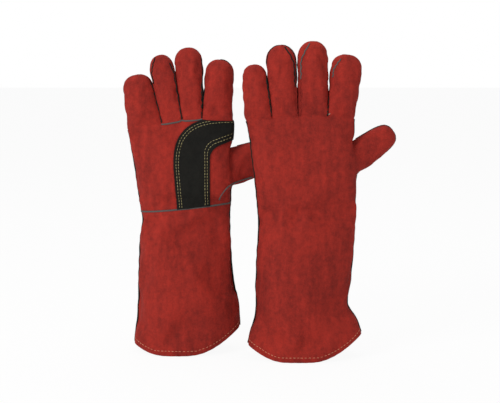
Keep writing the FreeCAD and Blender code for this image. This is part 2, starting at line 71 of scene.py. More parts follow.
# The grid that a sleeve is drawn from, and how its rings are shaped.
COLUMNS = 8
ROWS = 4
SLEEVE = 100
NUDGE = 1e-4
ROW_DEPTHS = (-1.0, -0.42, 0.0, 0.42, 1.0)
CUFF_DEPTHS = (0.45, 0.84, 1.0, 1.04, 1.04, 1.0, 0.88, 0.66, 0.42)
KNUCKLE_DEPTHS = (0.62, 0.95, 1.0, 1.0, 1.0, 1.0, 1.0, 0.98, 0.78)
HEM_LIFTS = (1.0, 0.85, 0.4)
FULLNESS = 1.05
THUMB_SINK = 8.0
GUSSET_REACH = 6.0

# The simulation that puffs the leather.
PUFF_FRAMES = 18
PUFF_LIMIT = 4.5
SEAM_HOLD = 0.9
CLOTH = {
    "quality": 6, "mass": 0.4, "tension_stiffness": 25, "compression_stiffness": 25, "shear_stiffness": 12,
    "bending_stiffness": 3.0, "tension_damping": 10, "compression_damping": 10, "shrink_min": -0.025,
    "pin_stiffness": 1.5, "use_pressure": True, "uniform_pressure_force": 1.2,
}

# Lining, patch, stitches and welts, in millimetres.
FAR = 80.0
LINING_GAP = 3.2
LINING_THICKNESS = 1.2
LINING_INSET = 5.0
PATCH_MARGIN = 9.0
PATCH_LIFT = 0.1
PATCH_THICKNESS = 1.3
PATCH_ROWS = (3.5, 6.6)
PATCH_PITCH = 3.9
PATCH_STITCH = (3.0, 0.75)
HEM_ROW = 7.0
HEM_PITCH = 4.6
HEM_STITCH = (3.2, 0.7)
STITCH_FLATNESS = 0.7
EDGE_WELT = 1.3
WRIST_WELT = 1.2
ROOT_WELT = 1.1
THUMB_SEAM_WELT = 1.0
FINGER_WELT = 0.9
LINE_WELT = 0.85


# ---------------------------------------------------------------- shader expressions


class Wire:
    """A shader socket, or a number, that can be used in ordinary arithmetic."""

    def __init__(self, shader: "Shader", value: object) -> None:
        """Keeps the node tree's builder and the socket or number."""
        self.shader, self.value = shader, value

    def _math(self, operation: str, *values: object) -> "Wire":
        """Adds a Math node for one operation.

        Args:
            operation: the Math node's operation.
            values: sockets, wires or numbers.

        Returns:
            The node's result.
        """
        return self.shader.node("ShaderNodeMath", {"operation": operation}, values)

    def __add__(self, other: object) -> "Wire":
        """Sum."""
        return self._math("ADD", self, other)

    def __sub__(self, other: object) -> "Wire":
        """Difference."""
        return self._math("SUBTRACT", self, other)

    def __rsub__(self, other: object) -> "Wire":
        """Difference from a number."""
        return self._math("SUBTRACT", other, self)

    def __mul__(self, other: object) -> "Wire":
        """Product."""
        return self._math("MULTIPLY", self, other)

    __radd__ = __add__
    __rmul__ = __mul__

    def step(self, low: float, high: float) -> "Wire":
        """Smoothly goes from 0 at low to 1 at high."""
        values = {"Value": self, "From Min": low, "From Max": high}
        return self.shader.node("ShaderNodeMapRange", {"interpolation_type": "SMOOTHSTEP"}, values)


class Shader:
    """Builds one node material."""

    def __init__(self, name: str) -> None:
        """Makes an empty node material with a Principled surface."""
        self.material = bpy.data.materials.new(name)
        self.material.use_nodes = True
        self.tree = self.material.node_tree
        self.surface = self.tree.nodes["Principled BSDF"]

    def node(self, kind: str, settings: dict, values: object, output: int | str = 0) -> Wire:
        """Adds a node.

        Args:
            kind: the node's type.
            settings: properties, set before anything is plugged in.
            values: a sequence or a mapping of input to wire, number or colour.
            output: which output to return.

        Returns:
            The chosen output.
        """
        node = self.tree.nodes.new(kind)
        for name, value in settings.items():
            setattr(node, name, value)
        pairs = values.items() if isinstance(values, dict) else enumerate(values)
        for key, value in pairs:
            self.plug(node.inputs[key], value)
        return Wire(self, node.outputs[output])

    def plug(self, socket: bpy.types.NodeSocket, value: object) -> None:
        """Links a wire to a socket, or sets the socket's own value."""
        if isinstance(value, Wire):
            self.plug(socket, value.value)
        elif isinstance(value, bpy.types.NodeSocket):
            self.tree.links.new(value, socket)
        else:
            socket.default_value = value

    def place(self, stretch: tuple[float, float, float] = (1.0, 1.0, 1.0)) -> Wire:
        """Object coordinates, stretched along each axis."""
        here = self.node("ShaderNodeTexCoord", {}, {}, "Object")
        return self.node("ShaderNodeMapping", {}, {"Vector": here, "Scale": stretch})

    def noise(self, scale: float, detail: float = 3.0, rough: float = 0.55,
              stretch: tuple[float, float, float] = (1.0, 1.0, 1.0)) -> Wire:
        """Noise from 0 to 1, with its features 1 / scale metres across."""
        values = {"Vector": self.place(stretch), "Scale": scale, "Detail": detail, "Roughness": rough}
        return self.node("ShaderNodeTexNoise", {}, values)

    def mix(self, share: Wire, low: Colour, high: Colour) -> Wire:
        """A colour between two others."""
        node = self.tree.nodes.new("ShaderNodeMix")
        node.data_type = "RGBA"
        for socket, value in ((node.inputs[0], share), (node.inputs[6], low), (node.inputs[7], high)):
            self.plug(socket, value)
        return Wire(self, node.outputs[2])

    def bump(self, height: Wire, distance: float, strength: float = 1.0) -> None:
        """Roughens the surface by a height from 0 to 1, which is a distance deep in metres."""
        values = {"Height": height, "Distance": distance, "Strength": strength}
        self.plug(self.surface.inputs["Normal"], self.node("ShaderNodeBump", {}, values))

    def cover(self, share: Wire, low: Colour, high: Colour, roughness: Wire,
              fixed: dict[str, object]) -> None:
        """Colours the surface.

        Args:
            share: how much of the high colour shows.
            low: the colour where that is 0.
            high: the colour where it is 1.
            roughness: how rough the surface is.
            fixed: the sockets whose value is the same all over.
        """
        self.plug(self.surface.inputs["Base Color"], self.mix(share, low, high))
        self.plug(self.surface.inputs["Roughness"], roughness)
        for name, value in fixed.items():
            self.surface.inputs[name].default_value = value


def colour(red: int, green: int, blue: int) -> Colour:
    """A linear colour from 8-bit values."""
    def linear(level: int) -> float:
        """One channel of it."""
        share = level / 255
        return share / 12.92 if share <= 0.04045 else ((share + 0.055) / 1.055) ** 2.4
    return linear(red), linear(green), linear(blue), 1.0


@dataclass(frozen=True)
class Suede:
    """Napped split leather: uneven in colour, matt, with short fibres that catch light at grazing angles."""

    name: str
    dark: Colour
    light: Colour
    sheen: float = 0.12
    grain: float = 150.0

    def build(self) -> bpy.types.Material:
        """Makes the material."""
        shader = Shader(self.name)
        cloud = shader.noise(14, 3, 0.5)
        streak = shader.noise(60, 4, 0.6, (1.6, 1.6, 0.35))
        blotch = shader.noise(self.grain, 5, 0.75)
        nap = shader.noise(1100, 3, 0.7)
        tone = cloud * 0.22 + streak * 0.26 + blotch * 0.32 + nap * 0.2
        fixed = {"Specular IOR Level": 0.2, "Sheen Weight": self.sheen, "Sheen Roughness": 0.5,
                 "Sheen Tint": self.light}
        shader.cover(tone.step(0.32, 0.68), self.dark, self.light, 0.8 + 0.16 * nap, fixed)
        pit = shader.noise(300, 4, 0.65)
        shader.bump(nap * 0.3 + pit * 0.5 + streak * 0.6, 0.0008)
        return shader.material


@dataclass(frozen=True)
class Cotton:
    """Undyed brushed cotton with a fine plain weave."""

    name: str
    dark: Colour
    light: Colour

    def build(self) -> bpy.types.Material:
        """Makes the material."""
        shader = Shader(self.name)
        across, along = (
            shader.node("ShaderNodeTexWave", {"wave_type": "BANDS", "bands_direction": axis},
                        {"Vector": shader.place(), "Scale": 210.0}, 1)
            for axis in "XZ"
        )
        weave = across * along
        fluff = shader.noise(60, 4)
        tone = fluff * 0.7 + weave * 0.3
        shader.cover(tone.step(0.2, 0.8), self.dark, self.light, 0.85 + 0.1 * fluff, {"Sheen Weight": 0.3})
        shader.bump(weave, 0.0003)
        return shader.material


@dataclass(frozen=True)
class Thread:
    """Twisted sewing thread."""

    name: str
    dark: Colour
    light: Colour

    def build(self) -> bpy.types.Material:
        """Makes the material."""
        shader = Shader(self.name)
        twist = shader.noise(700, 2, 0.5, (1.0, 1.0, 0.5))
        shader.cover(twist.step(0.35, 0.65), self.dark, self.light, 0.6 + 0.2 * twist, {})
        shader.bump(twist, 0.0002)
        return shader.material


class Finish(Enum):
    """Every finish on the gloves, with the record's slot it belongs to."""

    RED = (Suede("red_suede", colour(108, 29, 24), colour(176, 48, 37)), "red_leather")
    PATCH = (Suede("black_suede", colour(13, 13, 11), colour(28, 27, 23), 0.02), "black_leather")
    DARK_WELT = (
        Suede("dark_welt_leather", colour(13, 13, 12), colour(38, 39, 35), 0.03, 60.0), "welt_leather",
    )
    # The grey-green welt is a lit copy of the dark welt leather, for the same slot. It is partly the welt's
    # grey-green cut edge and partly a painted highlight where light falls on the welt. The dark welt is the
    # welt's own colour.
    WELT = (Suede("welt_leather", colour(26, 31, 24), colour(104, 124, 96), 0.0, 45.0), "welt_leather")
    LINING = (Cotton("lining_cotton", colour(190, 180, 160), colour(226, 219, 203)), "lining_fabric")
    KHAKI = (Thread("khaki_thread", colour(112, 104, 66), colour(176, 164, 112)), "welt_leather")
    PEACH = (Thread("peach_thread", colour(196, 120, 90), colour(226, 160, 124)), "red_leather")

    @property
    def slot(self) -> str:
        """The record's material slot."""
        return self.value[1]

    def material(self) -> bpy.types.Material:
        """The finished material, made once."""
        look = self.value[0]
        return bpy.data.materials.get(look.name) or look.build()


# ---------------------------------------------------------------- mesh helpers


def deselect() -> None:
    """Leaves object mode with nothing selected."""
    if bpy.context.object and bpy.context.object.mode != "OBJECT":
        bpy.ops.object.mode_set(mode="OBJECT")
    bpy.ops.object.select_all(action="DESELECT")


def activate(obj: bpy.types.Object) -> None:
    """Selects one object alone and makes it active."""
    deselect()
    obj.select_set(True)
    bpy.context.view_layer.objects.active = obj


def modify(obj: bpy.types.Object, kind: str, **settings: object) -> None:
    """Adds a modifier and applies it."""
    activate(obj)
    modifier = obj.modifiers.new(kind, kind)
    for name, value in settings.items():
        setattr(modifier, name, value)
    bpy.ops.object.modifier_apply(modifier=modifier.name)


def subdivide(obj: bpy.types.Object, levels: int) -> None:
    """Smoothly subdivides a mesh for good."""
    modify(obj, "SUBSURF", levels=levels, render_levels=levels, boundary_smooth="PRESERVE_CORNERS")


def duplicate(obj: bpy.types.Object, name: str) -> bpy.types.Object:
    """A copy of an object with its own mesh."""
    twin = obj.copy()
    twin.data = obj.data.copy()
    twin.name = twin.data.name = name
    bpy.context.collection.objects.link(twin)
    return twin


def dress(obj: bpy.types.Object, finish: Finish, crease: float = 50.0) -> None:
    """Finishes a piece's surface.

    Args:
        obj: the piece.
        finish: its only material.
        crease: the angle in degrees past which an edge stays sharp.
    """
    activate(obj)
    bpy.ops.object.shade_smooth_by_angle(angle=math.radians(crease))
    obj.data.materials.clear()
    obj.data.materials.append(finish.material())
    obj.data.polygons.foreach_set("material_index", [0] * len(obj.data.polygons))


def cut_off(obj: bpy.types.Object, unwanted: Callable[[bmesh.types.BMFace], bool]) -> None:
    """Deletes the faces of a mesh that a test picks out."""
    activate(obj)
    bpy.ops.object.mode_set(mode="EDIT")
    mesh = bmesh.from_edit_mesh(obj.data)
    for face in mesh.faces:
        face.select_set(unwanted(face))
    bmesh.update_edit_mesh(obj.data)
    bpy.ops.mesh.delete(type="FACE")
    bpy.ops.object.mode_set(mode="OBJECT")


def tree_of(obj: bpy.types.Object) -> BVHTree:
    """A search tree of an object's faces."""
    return BVHTree.FromPolygons([v.co for v in obj.data.vertices], [p.vertices[:] for p in obj.data.polygons])


def lerp(a: float, b: float, share: float) -> float:
    """The value a share of the way from a to b."""
    return a + (b - a) * share


# ---------------------------------------------------------------- sizes of the gloves


class Digit(Enum):
    """The five digits, fingers in order from the little finger, with their first column of the sleeve."""

    LITTLE = 0
    RING = 2
    MIDDLE = 4
    INDEX = 6
    THUMB = 8

    @property
    def word(self) -> str:
        """The digit's name as the nodes and joints spell it."""
        return self.name.lower()


class Zone(Enum):
    """The parts of the sleeve that separate panels are cut from."""

    CUFF_FRONT = 0
    CUFF_BACK = 1
    HAND_FRONT = 2
    HAND_BACK = 3
    GUSSET = 4
    LITTLE_FRONT = 5
    LITTLE_BACK = 6
    LITTLE_SIDE = 7
    RING_FRONT = 8
    RING_BACK = 9
    RING_SIDE = 10
    MIDDLE_FRONT = 11
    MIDDLE_BACK = 12
    MIDDLE_SIDE = 13
    INDEX_FRONT = 14
    INDEX_BACK = 15
    INDEX_SIDE = 16
    THUMB_FRONT = 17
    THUMB_BACK = 18


@dataclass(frozen=True)
class Ring:
    """One ring of the cuff or the hand, in millimetres from the middle of the hem and from the floor."""

    height: float
    left: float
    right: float
    depth: float
    slope: float = 0.0


@dataclass(frozen=True)
class Stall:
    """The sleeve of one digit: half widths at root, middle and tip, and its length, depth and lean."""

    root: float
    middle: float
    tip: float
    length: float
    depth: float
    lean: float

    def directions(self) -> tuple[Vector, Vector]:
        """The digit's own direction and that of its width, in the glove's plane."""
        lean = math.radians(self.lean)
        return Vector((-math.sin(lean), 0, math.cos(lean))), Vector((math.cos(lean), 0, math.sin(lean)))


# A flank of a digit (-1 left, 1 right, 0 both), and the shares of its length where a welt starts and ends.
Reach = tuple[int, float, float]
# A digit, its flank, how far in from the flank's edge a welt lies, where it starts and ends, and its leather,
# where the grey-green welt copy is partly a painted highlight.
Line = tuple[Digit, int, float, float, float, Finish]


@dataclass
class Glove:
    """One glove, built in the frame's own coordinates, with its sizes in millimetres."""

    side: str
    facing: int
    cuff: tuple[Ring, ...]
    hand: tuple[Ring, ...]
    knuckles: tuple[tuple[float, float], ...]
    knuckle_depth: float
    stalls: dict[Digit, Stall]
    hem_low: float
    hem_radius: float
    thumb_rings: tuple[int, int]
    thumb_back: float
    patch: "Patch"
    thumb_seam: tuple[tuple[float, float], ...]
    palm_welts: dict[Digit, tuple[Reach, ...]]
    back_welts: dict[Digit, tuple[Reach, ...]]
    palm_lines: tuple[Line, ...]
    back_lines: tuple[Line, ...]
    leather: float = 1.4
    hem_flat: float = 3.0

    # ------------------------------------------------------------ places

    def __post_init__(self) -> None:
        """Reads the glove's own places from the frame."""
        low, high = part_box(f"{self.side}_gauntlet_palm_panel")
        self.centre_x = (low[0] + high[0]) / 2
        low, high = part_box(f"{self.side}_gauntlet_lining")
        self.centre_y = (low[1] + high[1]) / 2
        self.wrist_height = self.cuff[-1].height

    def spot(self, x: float, z: float, y: float = 0.0) -> Vector:
        """A point of the frame from millimetres in the glove's own plane."""
        return Vector((self.centre_x + x * MM, self.centre_y + y * MM, z * MM))

    def hem_at(self, x: float) -> float:
        """How high the rounded cut of the hem is above the floor, in millimetres."""
        off = x - self.hem_low
        return max(self.hem_radius - math.sqrt(max(self.hem_radius**2 - off * off, 0.0)) - self.hem_flat, 0.0)

    def knuckle_at(self, x: float) -> float:
        """The height of the finger roots above the floor, in millimetres."""
        for (x0, z0), (x1, z1) in zip(self.knuckles, self.knuckles[1:]):
            if x <= x1:
                return lerp(z0, z1, (x - x0) / (x1 - x0))
        return self.knuckles[-1][1]

    def thumb_root(self) -> Vector:
        """The middle of the thumb's root, on the side of the hand."""
        first, last = self.thumb_rings
        low, high = self.hand[first - 1].height, self.hand[last - 1].height
        x = self.joint("thumb")["pos_m"][0]
        return Vector((x, self.centre_y + self.thumb_back * MM, (low + high) / 2 * MM))

    def joint(self, name: str) -> dict:
        """A joint of this glove, by the name of what it bends."""
        return next(j for j in FRAME["joints"] if j["name"] == f"{self.side}_{name}_bend")

    # ------------------------------------------------------------ the sleeve

    def build(self) -> None:
        """Models the whole glove; its pieces stand in for the frame's parts, which are hidden."""
        sleeve = Sleeve(self)
        shell = sleeve.model()
        puff(shell, "FRONT" if self.facing < 0 else "BACK")
        inner = duplicate(shell, "lining")
        subdivide(shell, 1)
        Leatherwork(self, shell).finish(inner)
        bpy.data.objects.remove(shell)


class Sleeve:
    """Draws a grid up into the glove's sleeve, one ring at a time, in edit mode."""

    def __init__(self, glove: Glove) -> None:
        """Starts with nothing but the glove's sizes."""
        self.glove = glove
        self.obj: bpy.types.Object | None = None
        self.mesh: bmesh.types.BMesh | None = None

    # selection and transforms, as a modeller would do them

    def refresh(self) -> None:
        """Reads the mesh again after an operator has changed it."""
        bmesh.update_edit_mesh(self.obj.data)
        self.mesh = bmesh.from_edit_mesh(self.obj.data)
        self.column = self.mesh.verts.layers.int["column"]
        self.row = self.mesh.verts.layers.int["row"]
        self.level = self.mesh.verts.layers.int["level"]
        self.root = self.mesh.faces.layers.int["root"]

    def pick(self, elements: Iterable[bmesh.types.BMVert | bmesh.types.BMFace]) -> None:
        """Selects these vertices or faces and nothing else."""
        for element in (*self.mesh.faces, *self.mesh.edges, *self.mesh.verts):
            element.select = False
        for element in elements:
            element.select_set(True)
        self.mesh.select_flush(True)

    def move(self, vertices: list[bmesh.types.BMVert], to: Vector) -> None:
        """Translates vertices so that their middle in X and Z is at a point."""
        middle = sum((v.co for v in vertices), Vector()) / len(vertices)
        self.pick(vertices)
        bpy.ops.transform.translate(value=(to.x - middle.x, 0, to.z - middle.z))

    def set_depths(self, line: list[bmesh.types.BMVert], half: float, middle: float) -> None:
        """Spreads the rows of one line of vertices through the glove's depth.

        Args:
            line: the vertices.
            half: the half depth in millimetres.
            middle: the middle of the depth in metres.
        """
        for row, share in enumerate(ROW_DEPTHS):
            rank = [v for v in line if v[self.row] == row]
            if rank:
                self.pick(rank)
                level = sum(v.co.y for v in rank) / len(rank)
                bpy.ops.transform.translate(value=(0, middle + share * half * MM - level, 0))

    def draw_out(self, cap: int) -> tuple[list[bmesh.types.BMVert], list[bmesh.types.BMFace]]:
        """Extrudes the faces of a cap on the spot.

        Args:
            cap: the number that the cap's faces carry.

        Returns:
            The vertices of the cap, and the faces of the wall that it left behind.
        """
        self.pick([f for f in self.mesh.faces if f[self.root] == cap])
        bpy.ops.mesh.extrude_region_move(TRANSFORM_OT_translate={"value": (0, 0, NUDGE)})
        self.refresh()
        top = [f for f in self.mesh.faces if f.select]
        vertices = [v for v in self.mesh.verts if v.select]
        walls = {f for v in vertices for f in v.link_faces} - set(top)
        for face in self.mesh.faces:
            if face.select:
                face[self.root] = cap
            elif face in walls or face[self.root] == cap:
                face[self.root] = 0
        return vertices, list(walls)

    # the parts of the sleeve

    def model(self) -> bpy.types.Object:
        """Models the sleeve.

        Returns:
            The sleeve, subdivided twice, with a zone's placeholder material on every face.
        """
        deselect()
        glove = self.glove
        bpy.ops.mesh.primitive_grid_add(x_subdivisions=COLUMNS, y_subdivisions=ROWS, size=2)
        self.obj = bpy.context.object
        self.obj.name = f"{glove.side}_sleeve"
        for zone in Zone:
            self.obj.data.materials.append(placeholder(zone.name))
        bpy.ops.object.mode_set(mode="EDIT")
        self.mesh = bmesh.from_edit_mesh(self.obj.data)
        for name in ("column", "row", "level"):
            self.mesh.verts.layers.int.new(name)
        self.mesh.faces.layers.int.new("root")
        self.refresh()
        for v in self.mesh.verts:
            v[self.column] = round((v.co.x + 1) / 2 * COLUMNS)
            v[self.row] = round((v.co.y + 1) / 2 * ROWS)
        for face in self.mesh.faces:
            face[self.root] = SLEEVE
        self.set_ring(list(self.mesh.verts), glove.cuff[0], 0.0)
        for ring in glove.cuff[1:]:
            vertices, walls = self.draw_out(SLEEVE)
            self.mark(walls, Zone.CUFF_FRONT)
            self.set_ring(vertices, ring, 0.0)
        for number, ring in enumerate(glove.hand, start=1):
            vertices, walls = self.draw_out(SLEEVE)
            self.mark(walls, Zone.HAND_FRONT)
            self.set_ring(vertices, ring, number / (len(glove.hand) + 1))
            for v in vertices:
                v[self.level] = number if v[self.column] == COLUMNS else 0
        self.knuckle_ring()
        for digit in (Digit.LITTLE, Digit.RING, Digit.MIDDLE, Digit.INDEX):
            self.finger(digit)
        self.thumb()
        self.curve_hem()
        bpy.ops.mesh.select_all(action="SELECT")
        bpy.ops.mesh.normals_make_consistent(inside=False)
        bpy.ops.object.mode_set(mode="OBJECT")
        subdivide(self.obj, 2)
        return self.obj

    def mark(self, walls: list[bmesh.types.BMFace], zone: Zone) -> None:
        """Marks a ring of wall with a zone and its back's zone."""
        for face in walls:
            face.material_index = zone.value + (0 if face.calc_center_median().y < self.glove.centre_y else 1)

    def columns_at(self, ring: Ring, share: float) -> list[Vector]:
        """Where the columns of a ring go: evenly spaced low down, and under the finger roots at the top."""
        glove = self.glove
        low, high = glove.knuckles[0][0], glove.knuckles[-1][0]
        places = []
        for k, (knuckle, _) in enumerate(glove.knuckles):
            across = lerp(k / COLUMNS, (knuckle - low) / (high - low), share)
            x = lerp(ring.left, ring.right, across)
            rise = math.tan(math.radians(ring.slope)) * (x - (ring.left + ring.right) / 2)
            places.append(glove.spot(x, ring.height + rise))
        return places

    def set_ring(self, vertices: list[bmesh.types.BMVert], ring: Ring, share: float) -> None:
        """Moves the vertices of a cap to a ring, with rounded ends in plan."""
        for k, place in enumerate(self.columns_at(ring, share)):
            line = [v for v in vertices if v[self.column] == k]
            half = ring.depth / 2 * lerp(CUFF_DEPTHS[k], KNUCKLE_DEPTHS[k], min(3 * share, 1.0))
            self.move(line, place)
            self.set_depths(line, half, self.glove.centre_y)

    def knuckle_ring(self) -> None:
        """Draws the cap up to the roots of the fingers and divides it between them."""
        glove = self.glove
        vertices, walls = self.draw_out(SLEEVE)
        self.mark(walls, Zone.HAND_FRONT)
        for k, (x, z) in enumerate(glove.knuckles):
            line = [v for v in vertices if v[self.column] == k]
            self.move(line, glove.spot(x, z))
            half = glove.knuckle_depth / 2 * (0.8 if k in (0, COLUMNS) else 1.0)
            self.set_depths(line, half, glove.centre_y)
        for face in self.mesh.faces:
            if face[self.root] == SLEEVE:
                first = min(v[self.column] for v in face.verts)
                face[self.root] = 1 + first - first % 2

    def finger(self, digit: Digit) -> None:
        """Draws one finger out of its part of the cap."""
        glove, stall = self.glove, self.glove.stalls[digit]
        profile = (
            (0.08, stall.root, 1.0), (0.27, lerp(stall.root, stall.middle, 0.6), 1.0),
            (0.5, stall.middle, 1.0), (0.7, lerp(stall.middle, stall.tip, 0.7), 0.98),
            (0.84, stall.tip * 0.95, 0.9), (0.935, stall.tip * 0.74, 0.72), (0.995, stall.tip * 0.34, 0.38),
        )
        profile = tuple((share, width * FULLNESS, deep) for share, width, deep in profile)
        start = glove.spot(*glove.knuckles[digit.value + 1])
        self.draw_stall(digit, start, stall, self.column, profile, glove.centre_y)

    def draw_stall(self, digit: Digit, start: Vector, stall: Stall, layer: object,
                   profile: Sequence[tuple[float, float, float]], middle: float) -> None:
        """Draws a digit out of its root.

        Args:
            digit: which digit it is.
            start: the middle of its root.
            stall: its sizes.
            layer: the vertex layer whose values tell its three lines apart.
            profile: for each ring, its share of the length, its half width and its share of the depth.
            middle: the middle of its depth.
        """
        along, across = stall.directions()
        cap = digit.value + 1
        lines = sorted({v[layer] for f in self.mesh.faces if f[self.root] == cap for v in f.verts})
        if digit is Digit.THUMB:
            across = -across
        for share, half_width, deep in profile:
            vertices, walls = self.draw_out(cap)
            centre = start + along * (stall.length * share * MM)
            for number, line in enumerate(lines):
                rank = [v for v in vertices if v[layer] == line]
                for rows, pull in (((0, ROWS), 0.68), ((1, 2, 3), 1.0)):
                    offset = (number - 1) * half_width * pull * MM
                    self.move([v for v in rank if v[self.row] in rows], centre + across * offset)
                self.set_depths(rank, stall.depth / 2 * deep * (1.0 if number == 1 else 0.92), middle)
            for face in walls:
                face.material_index = self.stall_zone(digit, face, middle).value
        for face in self.mesh.faces:
            if face[self.root] == cap:
                face.material_index = self.stall_zone(digit, face, middle).value

    def stall_zone(self, digit: Digit, face: bmesh.types.BMFace, middle: float) -> Zone:
        """The zone of one face of a digit: its front, its back, or the strip that goes round its sides."""
        if digit is not Digit.THUMB and {v[self.row] for v in face.verts} <= {1, 2, 3}:
            return Zone[f"{digit.name}_SIDE"]
        return Zone[f"{digit.name}_{'FRONT' if face.calc_center_median().y < middle else 'BACK'}"]

    def thumb(self) -> None:
        """Draws the thumb out of the side of the hand."""
        glove, stall = self.glove, self.glove.stalls[Digit.THUMB]
        first, last = glove.thumb_rings
        for face in self.mesh.faces:
            levels = {v[self.level] for v in face.verts}
            if levels <= set(range(first, last + 1)) and all(v[self.column] == COLUMNS for v in face.verts):
                if not any(v.co.z > glove.knuckles[-1][1] * MM for v in face.verts):
                    face[self.root] = Digit.THUMB.value + 1
        along, _ = stall.directions()
        plane = glove.thumb_root().x
        start = glove.thumb_root() - along * (THUMB_SINK * MM)
        longer = replace(stall, length=stall.length + THUMB_SINK)
        profile = (
            (GUSSET_REACH / longer.length, stall.root * 0.98, 1.2),
            (0.3, lerp(stall.root, stall.middle, 0.6), 1.0), (0.52, stall.middle, 1.0),
            (0.74, lerp(stall.middle, stall.tip, 0.6), 0.97),
            (0.86, stall.tip * 0.93, 0.88), (0.945, stall.tip * 0.74, 0.7), (0.995, stall.tip * 0.36, 0.4),
        )
        middle = glove.centre_y + glove.thumb_back * MM
        self.draw_stall(Digit.THUMB, start, longer, self.level, profile, middle)
        for face in self.mesh.faces:
            if face.material_index >= Zone.THUMB_FRONT.value and face.calc_center_median().x < plane:
                face.material_index = Zone.GUSSET.value

    def curve_hem(self) -> None:
        """Opens the bottom of the sleeve and lifts the hem along its rounded cut."""
        glove = self.glove
        self.pick([f for f in self.mesh.faces if all(v.co.z < 0.5 * MM for v in f.verts)])
        bpy.ops.mesh.delete(type="FACE")
        self.refresh()
        lifts = []
        for k in range(COLUMNS + 1):
            column = [v for v in self.mesh.verts if v[self.column] == k]
            lines = [[v for v in column if abs(v.co.z - ring.height * MM) < MM] for ring in glove.cuff]
            rise = glove.hem_at((lines[0][0].co.x - glove.centre_x) / MM)
            lifts += [(line, share * rise) for line, share in zip(lines, HEM_LIFTS)]
        for line, lift in lifts:
            self.pick(line)
            bpy.ops.transform.translate(value=(0, 0, lift * MM))


def placeholder(name: str) -> bpy.types.Material:
    """A plain material that only marks a zone until its panel is dressed."""
    return bpy.data.materials.get(name) or bpy.data.materials.new(name)


# ---------------------------------------------------------------- leather, puffed by simulation


def is_seam(first: str, second: str, palm: str) -> bool:
    """Whether two zones are sewn together, and not one piece of leather.

    Args:
        first: one zone's name.
        second: the other zone's name.
        palm: which of FRONT and BACK is the palm.

    Returns:
        True for a seam.
    """
    (part, _, face), (other, _, other_face) = sorted((first.partition("_"), second.partition("_")))
    if part == other or face != other_face:
        return "GUSSET" not in (part, other)
    if face != palm:
        return False
    return (part, other) in {("CUFF", "HAND"), ("HAND", "RING"), ("HAND", "MIDDLE")}


def seam_vertices(mesh: bpy.types.Mesh, palm: str) -> set[int]:
    """The vertices along the seams, and those of the open hem."""
    zones: dict[tuple[int, int], list[int]] = {}
    for face in mesh.polygons:
        for edge in face.edge_keys:
            zones.setdefault(edge, []).append(face.material_index)
    marked: set[int] = set()
    for edge, found in zones.items():
        names = [Zone(number).name for number in found]
        if len(names) < 2 or (names[0] != names[1] and is_seam(names[0], names[1], palm)):
            marked.update(edge)
    return marked


def puff(shell: bpy.types.Object, palm: str) -> None:
    """Inflates the sleeve between its seams with a short cloth simulation.

    Args:
        shell: the sleeve.
        palm: which of FRONT and BACK is the palm.
    """
    rest = [v.co.copy() for v in shell.data.vertices]
    group = shell.vertex_groups.new(name="seams")
    group.add(sorted(seam_vertices(shell.data, palm)), SEAM_HOLD, "REPLACE")
    activate(shell)
    cloth = shell.modifiers.new("Cloth", "CLOTH")
    for name, value in CLOTH.items():
        setattr(cloth.settings, name, value)
    cloth.settings.vertex_group_mass = group.name
    cloth.settings.effector_weights.gravity = 0
    cloth.point_cache.frame_start, cloth.point_cache.frame_end = 1, PUFF_FRAMES
    scene = bpy.context.scene
    for frame in range(1, PUFF_FRAMES + 1):
        scene.frame_set(frame)
    bpy.ops.object.modifier_apply(modifier=cloth.name)
    scene.frame_set(1)
    limit = PUFF_LIMIT * MM
    for vertex, start in zip(shell.data.vertices, rest):
        step = vertex.co - start
        if step.length > limit:
            vertex.co = start + step * (limit / step.length)
        vertex.co.z = max(vertex.co.z, 0.0)


def cut_apart(shell: bpy.types.Object) -> dict[Zone, bpy.types.Object]:
    """Cuts a copy of the sleeve along its seams into its panels."""
    copy = duplicate(shell, "panels")
    activate(copy)
    bpy.ops.object.mode_set(mode="EDIT")
    bpy.ops.mesh.select_all(action="SELECT")
    bpy.ops.mesh.separate(type="MATERIAL")
    bpy.ops.object.mode_set(mode="OBJECT")
    return {Zone[o.data.materials[0].name]: o for o in bpy.context.selected_objects if o.data.polygons}


